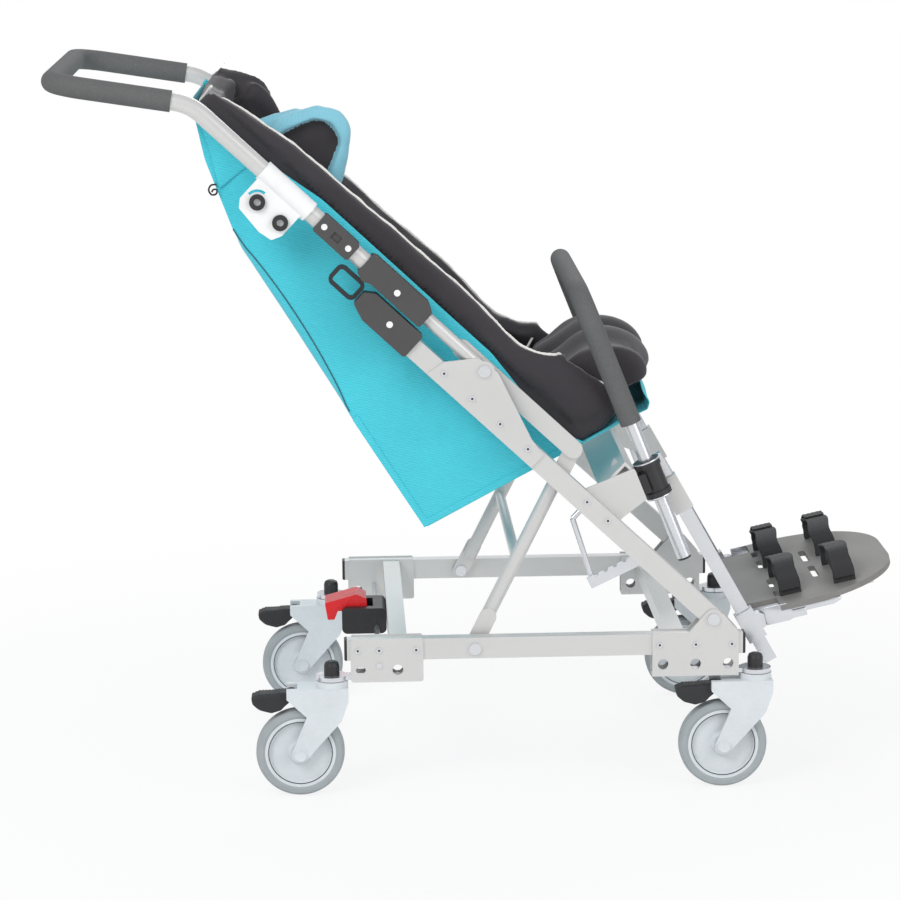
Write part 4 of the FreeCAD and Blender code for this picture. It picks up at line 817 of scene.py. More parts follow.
@dataclass
class Seat:
    """Sling, liner, cushion, head support and trim of the soft seat."""

    chain: Tuple[Point, ...] = ((1018, 38), (956, -5), (837, -64), (579, -133), (379, -185), (317, -3),
                                (294, 61), (276, 114), (262, 138), (257, 150), (262, 160), (279, 165))
    lip_half: float = 168.0
    edge: Tuple[Point, ...] = ((276, 30), (300, 36), (400, 50), (480, 63), (800, 63), (880, 52), (1018, 42))
    rim: Tuple[Point, ...] = ((292, 146), (396, 132), (414, 117), (458, 100), (569, 106), (709, 102),
                              (867, 97), (995, 83), (1016, 74))
    hem_edge: Tuple[Point, ...] = ((560, -138), (381, -184), (318, -3), (306, 30))
    hem_inner: Tuple[Point, ...] = ((560, -128), (387, -173), (328, -2), (316, 32))
    hook_knots: Tuple[Point, ...] = ((921, -19), (926, -25), (924, -32), (917, -34), (913, -29), (916, -24),
                                     (920, -27), (919, -31))
    cuff_length: float = 104.0
    cuff_top: float = 46.0
    sling_thick: float = 0.0022
    hem_thick: float = 0.0016
    cuff_thick: float = 0.0018
    top_n: float = 63.0
    seam: Point = (575.0, 857.0)
    seam_tuck: float = 14.0
    half: float = 194.0
    liner_half: float = 190.0
    head_half: float = 128.0
    head_slump: float = 30.0
    far_puff: float = 34.0
    brow: float = 16.0
    draw: float = 3.2
    drawn_in: Triple = (700.0, 150.0, 60.0)
    wing_reach: Point = (-7.0, 10.0)
    left_slump: float = 18.0
    channels: Tuple[float, ...] = (470, 560, 650, 740, 960)
    quilts: Point = (-62, 62)
    cushion_seam: float = 78.0
    fold: str = "handle_fold"
    fold_pivot: Point = (479.0, 42.7)
    keep: float = 0.1

    def settle(self, piece: bpy.types.Object) -> None:
        """Ride a soft piece on the handle, give it its own mesh and log its number of points."""
        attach(piece, Body.HANDLE.value)
        tuple(PLANE.point(*self.fold_pivot))
        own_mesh(piece)
        LOG.info("%s: %d points", piece.name, len(piece.data.vertices))

    def chain_rows(self, spacing: float) -> np.ndarray:
        """Samples along the sling's back and bottom that keep each corner.

        Args:
            spacing: about how far the samples are apart.

        Returns:
            Rows of s and n.
        """
        rows = []
        for (s, n), (end_s, end_n) in zip(self.chain, self.chain[1:]):
            count = max(3, round(math.hypot(end_s - s, end_n - n) / spacing))
            steps = np.linspace(0, 1, count, endpoint=False)
            rows += [(s + (end_s - s) * t, n + (end_n - n) * t) for t in steps]
        return np.array(rows + [self.chain[-1]], float)

    def chain_distance(self, local: np.ndarray) -> np.ndarray:
        """Distance of each row of s and n from the sling's back and bottom."""
        best = np.full(len(local), 1e9)
        for start, end in zip(np.array(self.chain, float), np.array(self.chain[1:], float)):
            run = end - start
            t = np.clip((local[:, :2] - start) @ run / (run @ run), 0, 1)
            best = np.minimum(best, np.linalg.norm(local[:, :2] - start - t[:, None] * run, axis=1))
        return best

    def tuck(self, s: np.ndarray) -> np.ndarray:
        """How far the side seam lies inside the full back panel at each s."""
        low, high = self.seam
        t = ramp(np.asarray(s, float), low, high - low)
        return self.seam_tuck * np.sin(math.pi * t) ** 0.6

    def waist(self, s: object) -> np.ndarray:
        """How far the sides are drawn in at each s, where they pass the bumper bar when folded."""
        middle, reach, soft = self.drawn_in
        t = ramp(-np.abs(np.asarray(s, float) - middle), -reach, soft)
        return self.draw * t * t * (3 - 2 * t)

    def edge_n(self, s: object) -> np.ndarray:
        """Height of the sling's upper edge at each s."""
        return np.interp(s, *zip(*self.edge))

    def sling(self) -> bpy.types.Object:
        """Continuous turquoise sheet: side, back and bottom, side."""
        rows = self.chain_rows(9.0)
        side_steps, back_steps = 26, 48
        run = np.concatenate([[0], np.cumsum(np.linalg.norm(np.diff(rows, axis=0), axis=1))])
        tops = np.interp(run, [0, run[-1]], [self.chain[0][0], self.edge[0][0]])
        across = np.linspace(-1, 1, back_steps)
        points = []
        for (s, n), top_s in zip(rows, tops):
            inside = float(self.tuck(s)) if n < 0 and s > self.seam[0] else 0.0
            up = np.linspace(1, 0, side_steps, endpoint=False)
            rise = max(float(self.edge_n(top_s)) - n - inside, 0.0)
            lean = top_s - s if rise > 0 else 0.0
            half = float(np.interp(n, [108, 136], [self.half, self.lip_half]))
            near = [(s + lean * u, n + inside + rise * u, -half) for u in up]
            back = [(s, n + inside * abs(t) ** 24, t * half) for t in across]
            far = [(a, b, half) for a, b, _ in reversed(near)]
            points += [PLANE.point(*p) for p in near + back + far]
        piece = mesh_piece("sling_cloth", np.array(points),
                           grid_faces(len(rows), 2 * side_steps + back_steps))
        outward(piece, MERGE)
        self.crease(piece)
        apply_modifier(piece, "SOLIDIFY", {"thickness": self.sling_thick, "offset": -1.0, "use_rim": True})
        apply_modifier(piece, "SUBSURF", {"levels": 1, "render_levels": 1})
        smooth(piece, 50)
        return piece

    def crease(self, piece: bpy.types.Object) -> None:
        """Soft folds of the sling: side panels stand full, the back sags."""
        points = read_points(piece)
        local = PLANE.local(points)
        side = np.abs(local[:, 2]) > self.half - 0.5
        inside = np.minimum(self.chain_distance(local), np.abs(self.edge_n(local[:, 0]) - local[:, 1]))
        full = 1 - bell(np.maximum(inside, 0), 0, 45.0)
        waves = [(1.1, 3.1, 5.3, 0.4), (0.9, 6.7, -4.1, 1.3), (0.7, 11.0, 7.9, 2.2),
                 (0.45, 19.0, 13.0, 0.7), (0.3, 31.0, -23.0, 1.9)]
        tug = ripple(local[:, :2], [(0.8, 4.0, -17.0, 0.5), (0.5, 9.0, 26.0, 2.0)])
        height = full * (3.2 + ripple(local[:, :2], waves) + tug * bell(local[:, 0], 400, 120))
        drawn = self.waist(local[:, 0])
        height = np.maximum(height, 0) * (1 - drawn / self.draw) - drawn
        points[:, 1] += np.where(side, np.sign(local[:, 2]) * height * MM, 0)
        arch = np.cos(math.pi * local[:, 2] / (2 * self.half))
        loose = ripple(local[:, [0, 2]], [(0.9, 4.3, 2.7, 0.3), (0.5, 9.1, 6.3, 1.9)])
        sag = np.where(side, 0, np.maximum(5.0 * arch ** 2 + loose * arch, 0)) * MM
        write_points(piece, points + read_normals(piece) * sag[:, None])

    def hem(self, sign: int) -> bpy.types.Object:
        """Sewn hem along the bottom edge of one side panel.

        Args:
            sign: -1 for the right side, 1 for the left.

        Returns:
            The piece.
        """
        low = through([PLANE.point(s, n, sign * (self.half + 0.4)) for s, n in self.hem_edge], 1)
        high = through([PLANE.point(s, n, sign * (self.half + 1.2)) for s, n in self.hem_inner], 1)
        rows = []
        for a, b, c, d in zip(low, low[1:], high, high[1:]):
            for t in np.linspace(0, 1, 24, endpoint=False):
                start, end = a + (b - a) * t, c + (d - c) * t
                rows += [start + (end - start) * w for w in np.linspace(0, 1, 5)]
        rows += [low[-1] + (high[-1] - low[-1]) * w for w in np.linspace(0, 1, 5)]
        return cloth_band(sided("hem", sign), rows, 5, self.hem_thick, 0.0004)

    def seam_cord(self, sign: int) -> bpy.types.Object:
        """Dark seam between one side panel and the back panel."""
        low, high = self.seam
        back = list(zip(*sorted(self.chain[1:4])))
        places = []
        for s in np.linspace(high + 6, low - 4, 30):
            n = np.interp(s, *back) + float(self.tuck(s)) + 1.0
            places.append(PLANE.point(s, n, sign * (self.half + 0.2 - float(self.waist(s)))))
        line = through(places, 3)
        return tube_piece(sided("seam", sign), line, [0.0011] * len(line), 8)

    def cuff(self, sign: int) -> bpy.types.Object:
        """Cloth cuff folded round the handle at the sling's top."""
        start_s, start_n = self.chain[0]
        rows = []
        for t in np.linspace(0, 1, 26):
            s = start_s - self.cuff_length * t
            low = start_n - 60 * t + 5 * math.sin(math.pi * t)
            drop = 10 * t * t
            for w in np.linspace(0, 1, 16):
                n = low + (self.cuff_top - low) * w
                lift = 2.2 + 1.8 * math.sin(math.pi * w) + 0.7 * math.sin(9 * t + 5 * w)
                rows.append(PLANE.point(s - drop * w, n, sign * (self.half + lift)))
        piece = mesh_piece(sided("cuff", sign), np.array(rows), grid_faces(26, 16))
        apply_modifier(piece, "SOLIDIFY", {"thickness": self.cuff_thick, "offset": 0.0})
        apply_modifier(piece, "SUBSURF", {"levels": 1, "render_levels": 1})
        smooth(piece, 60)
        return piece

    def hook(self) -> bpy.types.Object:
        """Small wire hook that hangs from the right cuff."""
        places = [PLANE.point(s, n, -self.half - 3 - 0.8 * i) for i, (s, n) in enumerate(self.hook_knots)]
        line = through(places, 8)
        return tube_piece("sling_hook", line, [0.0013] * len(line), 10)

    def held_liner(self, local: np.ndarray) -> np.ndarray:
        """Share of the swelling left to each place of the liner, none where it lies in the sling."""
        wall = (np.abs(local[:, 2]) > self.liner_half - 8) & (local[:, 1] < self.top_n + 6)
        return ramp(self.chain_distance(local), 8, 12) * np.where(wall, 0.0, 1.0)

    def liner(self) -> bpy.types.Object:
        """Padded black liner with swollen walls and sewn channels."""
        piece = node_copy("seat_liner", "liner_pad")
        inflate(piece, 0.0055, 0.008, self.held_liner)
        local = PLANE.local(read_points(piece))
        share = self.held_liner(local)
        inner = np.abs(local[:, 2]) < self.liner_half - 30
        depth = np.zeros(len(local))
        for s in self.channels:
            depth -= np.where(inner, 4.0 * bell(local[:, 0], s, 5.0), 0)
        for y in self.quilts:
            depth -= np.where(inner, 3.2 * bell(local[:, 2], y, 5.0), 0)
        folds = ripple(local[:, :2], [(1.6, 6.0, 21.0, 0.2), (0.9, 9.0, -33.0, 1.1),
                                      (0.5, 15.0, 47.0, 2.4)])
        crest = ramp(local[:, 1], self.top_n, 40)
        depth += np.where(inner, folds * 0.35, folds * (1 - 0.75 * crest))
        points = pushed(piece, depth * share)
        hold = bell(self.chain_distance(local), 0, 30)
        pulled = self.tuck(local[:, 0]) * np.abs(local[:, 2] / self.half) ** 5 * hold
        points += shifted(np.where(local[:, 1] < 0, pulled, 0), PLANE.square())
        puffed = bell(local[:, 0], 955, 62) * ramp(local[:, 2], 120, 40) * ramp(local[:, 1], 20, 40)
        points += shifted(puffed * self.far_puff, PLANE.square())
        brow = ramp(-local[:, 0], -400, 30) * ramp(np.abs(local[:, 2]), 140, 30)
        points += shifted(brow * ramp(local[:, 1], 90, 40) * self.brow, PLANE.along())
        low = local[:, 1] < self.top_n + 4
        drawn = self.waist(local[:, 0])
        limit = np.where(low, self.liner_half - 0.5 - drawn, self.half + 6 - 2.7 * drawn) * MM
        points[:, 1] = np.clip(points[:, 1], -limit, limit)
        write_points(piece, points)
        smooth(piece, 80)
        return piece

    def cushion(self) -> bpy.types.Object:
        """Crowned seat cushion with its middle channel and cross seam."""
        piece = node_copy("seat_cushion", "seat_pad")
        inflate(piece, 0.0045, 0.006)
        local = PLANE.local(read_points(piece))
        top = read_normals(piece) @ np.array(PLANE.along()) > 0.3
        depth = -4.5 * bell(local[:, 1], self.cushion_seam, 5.0) * top
        depth += ripple(local[:, 1:], [(0.8, 9.0, 6.0, 0.3), (0.5, 17.0, -11.0, 1.7)])
        write_points(piece, pushed(piece, depth))
        smooth(piece, 80)
        return piece

    def head(self) -> bpy.types.Object:
        """Light blue head support with rounded wings."""
        piece = node_copy("head_support", "head_pad")
        inflate(piece, 0.004, 0.005)
        apply_modifier(piece, "SMOOTH", {"factor": 0.5, "iterations": 10})
        local = PLANE.local(read_points(piece))
        points = pushed(piece, ripple(local[:, :2], [(0.5, 21.0, 9.0, 0.6), (0.35, 35.0, -17.0, 1.2)]))
        raised = ramp(local[:, 1], 20, 60)
        grown = raised * ramp(-local[:, 2], 40, 60)
        points += shifted(grown * self.wing_reach[0], PLANE.along())
        points += shifted(grown * self.wing_reach[1], PLANE.square())
        sunk = self.head_slump * ramp(local[:, 2], 40, 60) * raised
        write_points(piece, points - shifted(sunk, PLANE.square()))
        smooth(piece, 80)
        return piece

    def line_head(self, piece: bpy.types.Object) -> None:
        """Black lining in the hollow of each wing."""
        piece.data.materials.append(MATERIALS["black_cloth"])
        polygons = piece.data.polygons
        y = np.array([polygon.center.y for polygon in polygons]) / MM
        facing_out = np.array([polygon.normal.y for polygon in polygons]) * np.sign(y) > 0.35
        deep = facing_out & (np.abs(y) < self.head_half - 6) & (np.abs(y) > self.head_half - 24)
        owners: Dict[Tuple[int, int], List[int]] = {}
        for polygon in polygons:
            for key in polygon.edge_keys:
                owners.setdefault(key, []).append(polygon.index)
        pairs = np.array([pair for pair in owners.values() if len(pair) == 2])
        for grow in (False, False, False, True, True, True):
            edge = deep[pairs[:, 0]] != deep[pairs[:, 1]]
            deep[pairs[edge].ravel()] = grow
        for polygon, lined in zip(polygons, deep):
            polygon.material_index = int(lined)

    def piping(self, sign: int, liner: bpy.types.Object) -> bpy.types.Object:
        """Wavy white piping sewn along one bolster of the liner.

        Args:
            sign: -1 for the right side, 1 for the left.
            liner: the finished liner, on which it lies.

        Returns:
            The piece.
        """
        slump = self.left_slump if sign > 0 else 0.0
        places = [PLANE.point(s, n - 10 - slump, sign * (self.liner_half - 15)) for s, n in self.rim]
        line = through(places, 30)
        turn = math.radians(50)
        out = np.array((0.0, sign * math.cos(turn), 0.0)) + np.array(PLANE.square()) * math.sin(turn)
        for i, place in enumerate(line):
            found, where, _, _ = liner.ray_cast(Vector(place + out * 0.08), Vector(-out))
            line[i] = np.array(where) + out * 0.0006 if found else place + out * 0.015
        for _ in range(14):
            line[1:-1] = line[1:-1] * 0.5 + (line[:-2] + line[2:]) * 0.25
        travel = np.concatenate([[0], np.cumsum(np.linalg.norm(np.diff(line, axis=0), axis=1))])
        wave = 0.0005 * np.sin(travel * 2 * math.pi / 0.061)
        wave += 0.0003 * np.sin(travel * 2 * math.pi / 0.029 + 1.0)
        line = line + np.outer(wave, np.array(PLANE.square()))
        line[:, 1] += sign * 0.0008 * np.sin(travel * 2 * math.pi / 0.037)
        radii = 0.0021 + 0.0002 * np.sin(travel * 2 * math.pi / 0.007)
        return tube_piece(sided("piping", sign), line, radii, 10)

    def build(self) -> None:
        """Make every soft piece of the seat."""
        sling = dressed(self.sling(), "turquoise_cloth")
        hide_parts("seat_sling")
        liner = dressed(self.liner(), "black_cloth")
        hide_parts("seat_liner")
        cushion = dressed(self.cushion(), "black_cloth")
        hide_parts("seat_cushion")
        head = dressed(self.head(), "blue_cloth")
        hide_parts("head_support")
        self.line_head(head)
        pieces = [sling, liner, cushion, head]
        extras = []
        for sign in (-1, 1):
            pieces.append(dressed(self.piping(sign, liner), "black_cloth", "piping"))
            extras.append(dressed(self.hem(sign), "turquoise_cloth"))
            extras.append(dressed(self.seam_cord(sign), "turquoise_cloth", "seam"))
            extras.append(dressed(self.cuff(sign), "turquoise_cloth"))
        extras.append(dressed(self.hook(), "black_plastic"))
        for piece in pieces + extras:
            self.settle(piece)


@dataclass(frozen=True)
class FootPlane:
    """Tilted plane of the footplate, from its hinge."""

    pivot_x: float = 392.0
    pivot_z: float = 224.0
    degrees: float = 12.3

    def lay(self, u: float, v: float, w: float) -> Matrix:
        """Matrix that lays a form on the plane, X along it.

        Args:
            u: distance along the plane in millimetres.
            v: distance across the stroller.
            w: height over the plane.

        Returns:
            The matrix, in metres.
        """
        a = math.radians(self.degrees)
        x = self.pivot_x + u * math.cos(a) - w * math.sin(a)
        z = self.pivot_z + u * math.sin(a) + w * math.cos(a)
        return Matrix.Translation(Vector((x, v, z)) * MM) @ Matrix.Rotation(-a, 4, "Y")


FOOT = FootPlane()


@dataclass
class FootStraps:
    """Hook and loop straps over the footplate."""

    lift: float = 17.0
    places: Point = (56.0, 136.0)
    centre: float = 86.0
    span: float = 56.5
    height: float = 42.5
    band: float = 32.0
    thick: float = 0.0024
    tab_thick: float = 0.0022
    bevel: float = 0.0005

    def place(self, u: float, v: float, w: float) -> Vector:
        """Point on or above the tilted footplate, in metres."""
        return FOOT.lay(u, v, self.lift + w).to_translation()

    def strap(self, name: str, u: float, sign: int) -> bpy.types.Object:
        """One arched strap with ribs along its band.

        Args:
            name: the piece's name.
            u: place along the footplate.
            sign: side of the stroller.

        Returns:
            The piece.
        """
        arch = ((-1, 0), (-0.86, 0.72), (0, 1), (0.86, 0.72), (1, 0))
        knots = [Vector((self.span * v, self.height * w, 0)) for v, w in arch]
        line = through(knots, 12)
        across = np.linspace(-self.band / 2, self.band / 2, 15)
        points = []
        for i, (v, w, _) in enumerate(line):
            lean = 2.5 * math.sin(i * 0.35)
            points += [self.place(u + a + lean * (w / self.height), sign * self.centre + v,
                                  w + 0.3 + 0.35 * math.sin(j * 2.2))
                       for j, a in enumerate(across)]
        return cloth_band(name, points, len(across), self.thick, self.bevel)

    def tab(self, name: str, u: float, sign: int) -> bpy.types.Object:
        """Loose end of a strap, laid over its outer half."""
        knots = [Vector((self.span * 0.1, self.height + 2.6, 0)),
                 Vector((self.span * 0.6, self.height * 0.95 + 2.6, 0)),
                 Vector((self.span * 0.92 + 2.2, self.height * 0.66, 0)),
                 Vector((self.span + 3.2, self.height * 0.18, 0))]
        line = through(knots, 10)
        across = np.linspace(-self.band / 2 + 1, self.band / 2 - 1, 13)
        points = []
        for i, (v, w, _) in enumerate(line):
            wave = 0.5 * math.sin(i * 0.7)
            points += [self.place(u + a + wave, sign * (self.centre + v),
                                  w + 0.5 + 0.3 * math.sin(j * 2.2)) for j, a in enumerate(across)]
        return cloth_band(name, points, len(across), self.tab_thick, self.bevel)

    def build(self) -> None:
        """Make the four straps."""
        first = True
        for index, u in enumerate(self.places):
            for sign in (-1, 1):
                name = "%s_%d" % (sided("foot_strap", sign), index + 1)
                piece = dressed(self.strap(name, u, sign), "webbing")
                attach(piece, Body.FOOTPLATE.value)
                if first:
                    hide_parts("foot_straps")
                    first = False
                name = "%s_%d" % (sided("foot_strap_tab", sign), index + 1)
                tab = dressed(self.tab(name, u, sign), "webbing")
                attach(tab, Body.FOOTPLATE.value)


@dataclass(frozen=True)
class HeadForm:
    """Sizes of a fastener head in millimetres."""

    radius: float
    height: float
    dimple: float
    depth: float
    bevel: float

    def master(self, name: str) -> bpy.types.Object:
        """Head that stands on the origin along Z, with a dimple in its top.

        Args:
            name: the object's name.

        Returns:
            The object.
        """
        deselect()
        bpy.ops.mesh.primitive_cylinder_add(vertices=28, radius=self.radius * MM, depth=self.height * MM,
                                            location=(0, 0, self.height * MM / 2))
        piece = bpy.context.object
        piece.name = name
        bpy.ops.object.transform_apply(location=True)
        pick_faces(piece, lambda polygon: polygon.normal.z > 0.9)
        bpy.ops.mesh.inset(thickness=(self.radius - self.dimple) * MM)
        draw_out((0, 0, -self.depth))
        bpy.ops.object.mode_set(mode="OBJECT")
        return eased(piece, self.bevel * MM, 3)


def pick_faces(piece: bpy.types.Object, test: Callable[[bpy.types.MeshPolygon], bool]) -> None:
    """Enter edit mode with the faces that pass a test selected."""
    activate(piece)
    bpy.ops.object.mode_set(mode="EDIT")
    bpy.ops.mesh.select_mode(type="FACE")
    bpy.ops.mesh.select_all(action="DESELECT")
    bpy.ops.object.mode_set(mode="OBJECT")
    for polygon in piece.data.polygons:
        polygon.select = test(polygon)
    bpy.ops.object.mode_set(mode="EDIT")


def draw_out(step: Sequence[float]) -> None:
    """Extrude the picked faces by a step in millimetres."""
    bpy.ops.mesh.extrude_region_move(TRANSFORM_OT_translate={"value": tuple(Vector(step) * MM)})


def placed(master: bpy.types.Object, name: str, places: Sequence[Matrix]) -> bpy.types.Object:
    """One piece from copies of a master at several places; the master goes.

    Args:
        master: the modelled form.
        name: the new piece's name.
        places: a matrix for each copy.

    Returns:
        The joined piece.
    """
    copies = []
    for matrix in places:
        mesh = master.data.copy()
        mesh.transform(matrix)
        copies.append(linked(name, mesh))
    activate(copies[0])
    for copy in copies[1:]:
        copy.select_set(True)
    if len(copies) > 1:
        bpy.ops.object.join()
    bpy.data.objects.remove(master)
    copies[0].name = name
    return copies[0]


def ring_form(name: str, inner: float, outer: float, high: float) -> bpy.types.Object:
    """Flat ring round the origin, spun from a rectangle.

    Args:
        name: the object's name.
        inner: inner radius in millimetres.
        outer: outer radius in millimetres.
        high: height in millimetres.

    Returns:
        The object.
    """
    deselect()
    bpy.ops.mesh.primitive_plane_add(size=1.0, location=((inner + outer) / 2 * MM, 0, 0),
                                     rotation=(math.radians(90), 0, 0))
    piece = bpy.context.object
    piece.name = name
    piece.scale = ((outer - inner) * MM, high * MM, 1.0)
    bpy.ops.object.transform_apply(location=True, rotation=True, scale=True)
    edit_all(piece)
    bpy.ops.mesh.delete(type="ONLY_FACE")
    bpy.ops.mesh.select_all(action="SELECT")
    bpy.ops.mesh.spin(steps=44, angle=2 * math.pi, center=(0, 0, 0), axis=(0, 0, 1))
    bpy.ops.object.mode_set(mode="OBJECT")
    outward(piece, FINE_MERGE)
    return eased(piece, min(outer - inner, high) * 0.18 * MM)


def facing(place: Vector, sign: int) -> Matrix:
    """Matrix that stands a form on a place of the right (-1) or left (1) side, pointing outward."""
    return Matrix.Translation(place) @ Matrix.Rotation(math.radians(-90 * sign), 4, "X")


def node_islands(node: str) -> List[Tuple[np.ndarray, np.ndarray]]:
    """Boxes of the separate pieces of one solid.

    Args:
        node: the solid's name.

    Returns:
        Lowest and highest corner of each piece.
    """
    mesh = frame["nodes"][node].data
    points = np.array([v.co for v in mesh.vertices])
    keys: Dict[Tuple[float, ...], int] = {}
    ids = [keys.setdefault(tuple(np.round(p, 5)), len(keys)) for p in points]
    group = list(range(len(keys)))

    def root(i: int) -> int:
        """Number that stands for a piece."""
        while group[i] != i:
            group[i] = group[group[i]]
            i = group[i]
        return i

    for polygon in mesh.polygons:
        corners = [ids[v] for v in polygon.vertices]
        for corner in corners[1:]:
            group[root(corner)] = root(corners[0])
    boxes: Dict[int, List[np.ndarray]] = {}
    for place, key in zip(points, ids):
        boxes.setdefault(root(key), []).append(place)
    return [(np.min(rows, axis=0), np.max(rows, axis=0)) for rows in boxes.values()]


@dataclass
class Fasteners:
    """Rivet eyes, screws and hub caps on the metal and plastic parts."""

    eye: HeadForm = HeadForm(1.7, 0.3, 1.1, 0.25, 0.08)
    rivet: HeadForm = HeadForm(4.6, 1.8, 1.2, 0.3, 0.7)
    screw: HeadForm = HeadForm(4.4, 1.0, 2.5, 0.7, 0.25)
    hub: HeadForm = HeadForm(9.0, 0.9, 7.4, 0.5, 0.25)
    bead: Triple = (44.4, 45.6, 0.9)
    axle_x: Tuple[Tuple[str, float], ...] = (("rear", -266.0), ("front", 333.0))
    axle_y: Tuple[Tuple[str, float], ...] = (("right", -240.0), ("left", 240.0))
    axle_z: float = 62.5
    fork_half: float = 24.0
    rim_half: float = 12.0

    def eyes(self, node: str, body: Body, widest: float) -> None:
        """Dark drawn-in centres on the rivets of one node."""
        places = []
        for low, high in node_islands(node):
            middle = (low + high) / 2
            if high[0] - low[0] < widest * MM:
                sign = -1 if middle[1] < 0 else 1
                place = Vector((middle[0], low[1] if sign < 0 else high[1], middle[2]))
                places.append(facing(place, sign))
        piece = placed(self.eye.master("eye_form"), node + "_eyes", places)
        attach(dressed(piece, "zinc", "rivet_eye"), body.value)

    def on_sides(self, form: HeadForm, name: str, spots: Sequence[Triple], slot: str,
                 body: Body) -> None:
        """Heads at places of the side plane, on both sides of the stroller.

        Args:
            form: the head.
            name: the piece's name.
            spots: s, n and distance from the middle of each head.
            slot: the record's material slot.
            body: the group that it rides on.
        """
        places = [facing(PLANE.point(s, n, sign * y), sign) for s, n, y in spots for sign in (-1, 1)]
        piece = placed(form.master(name + "_form"), name, places)
        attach(dressed(piece, slot), body.value)

    def faces(self, x: float, y: float, half: float) -> List[Matrix]:
        """Places on the axle at both faces of a wheel or fork, half its width from the middle."""
        return [facing(Vector((x, y + half * sign, self.axle_z)) * MM, sign) for sign in (-1, 1)]

    def hubs(self) -> None:
        """Caps over the axles on both faces of each fork, and a dark bead round each rim."""
        for side, y in self.axle_y:
            for end, x in self.axle_x:
                places = self.faces(x, y, self.fork_half)
                piece = placed(self.hub.master("hub_form"), "hub_caps_%s_%s" % (end, side), places)
                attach(dressed(piece, "caster_grey"), "caster_swivel_%s_%s" % (end, side))
                places = self.faces(x, y, self.rim_half)
                bead = placed(ring_form("bead_form", *self.bead), "rim_beads_%s_%s" % (end, side), places)
                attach(dressed(bead, "caster_grey", "rivet_eye"), "caster_roll_%s_%s" % (end, side))

    def build(self) -> None:
        """Place every fastener."""
        self.eyes("base_rivets", Body.BASE, 10.0)
        self.eyes("frame_rivets", Body.LOWER, 10.0)
        self.on_sides(self.rivet, "sleeve_rivets", [(642, 42.5, 256.0)], "white_plastic", Body.HANDLE)
        self.on_sides(self.rivet, "block_rivets", [(620, 3, 254.0)], "white_plastic", Body.LOWER)
        self.on_sides(self.screw, "connector_screws", [(777, 42.7, 256.5), (733, 42.7, 256.5)],
                      "white_plastic", Body.HANDLE)
        self.hubs()


@dataclass
class BumperTrim:
    """Rings on the bumper bar's clamps and caps on its ends."""

    top: Point = (133.8, 702.7)
    end: Point = (281.0, 327.0)
    half: float = 207.3
    tube: float = 10.0
    collar: float = 19.0
    clamp_at: float = 281.0
    clamp_half: float = 28.0

    def down(self) -> Vector:
        """Unit vector down a leg."""
        return Vector((self.end[0] - self.top[0], 0, self.end[1] - self.top[1])).normalized()

    def stand(self, distance: float, sign: int) -> Matrix:
        """Matrix that stands a form on a leg, pointing down it."""
        place = Vector((self.top[0], sign * self.half, self.top[1])) + self.down() * distance
        return Matrix.Translation(place * MM) @ self.down().to_track_quat("Z", "Y").to_matrix().to_4x4()

    def build(self) -> None:
        """Place rings and caps."""
        edge = self.clamp_half - 1.4
        form = ring_form("clamp_ring_form", self.collar - 1.5, self.collar + 0.7, 2.2)
        rings = [self.stand(self.clamp_at + step, sign) for step in (-edge, edge) for sign in (-1, 1)]
        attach(dressed(placed(form, "clamp_rings", rings), "zinc"), Body.LOWER.value)
        length = math.dist(self.top, self.end)
        cap = HeadForm(self.tube - 0.3, 9.0, 5.0, 0.6, 1.6).master("leg_cap_form")
        piece = placed(cap, "leg_caps", [self.stand(length - 6.0, sign) for sign in (-1, 1)])
        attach(dressed(piece, "black_plastic"), Body.BUMPER.value)


@dataclass
class FootTrim:
    """Edge rails and side brackets of the footplate."""

    under: float = 9.0
    rail_size: Triple = (64.0, 9.0, 9.0)
    rail_nose: Triple = (12.0, 0.0, 2.0)
    rail_place: Point = (78.0, 181.0)
    bracket_size: Triple = (34.0, 3.0, 26.0)
    bracket_step: Triple = (6.0, 0.0, -5.0)
    bracket_tongue: Triple = (20.0, 0.0, 0.0)
    bracket_place: Point = (26.0, 187.5)

    def block(self, name: str, size: Triple) -> bpy.types.Object:
        """Box round the origin, in edit mode with its front face picked."""
        deselect()
        bpy.ops.mesh.primitive_cube_add(size=1.0)
        piece = bpy.context.object
        piece.name = name
        piece.scale = tuple(Vector(size) * MM)
        bpy.ops.object.transform_apply(scale=True)
        pick_faces(piece, lambda polygon: polygon.normal.x > 0.9)
        return piece

    def rail(self) -> bpy.types.Object:
        """Edge rail with a narrowed front end."""
        piece = self.block("edge_rail_form", self.rail_size)
        draw_out(self.rail_nose)
        bpy.ops.transform.resize(value=(1, 0.8, 0.5))
        bpy.ops.object.mode_set(mode="OBJECT")
        return eased(piece, 0.0018, 3)

    def bracket(self) -> bpy.types.Object:
        """Upright side bracket with a stepped front tongue."""
        piece = self.block("side_bracket_form", self.bracket_size)
        draw_out(self.bracket_step)
        bpy.ops.transform.resize(value=(1, 1, 0.45))
        draw_out(self.bracket_tongue)
        bpy.ops.object.mode_set(mode="OBJECT")
        return eased(piece, 0.0011)

    def build(self) -> None:
        """Place the rails and brackets on both edges."""
        u, v = self.rail_place
        rails = [FOOT.lay(u, sign * v, self.under - 4.5) for sign in (-1, 1)]
        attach(dressed(placed(self.rail(), "footplate_edge_rails", rails), "zinc"), Body.FOOTPLATE.value)
        u, v = self.bracket_place
        sides = [FOOT.lay(u, sign * v, self.under - 4.0) for sign in (-1, 1)]
        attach(dressed(placed(self.bracket(), "footplate_side_brackets", sides), "zinc"),
                Body.FOOTPLATE.value)


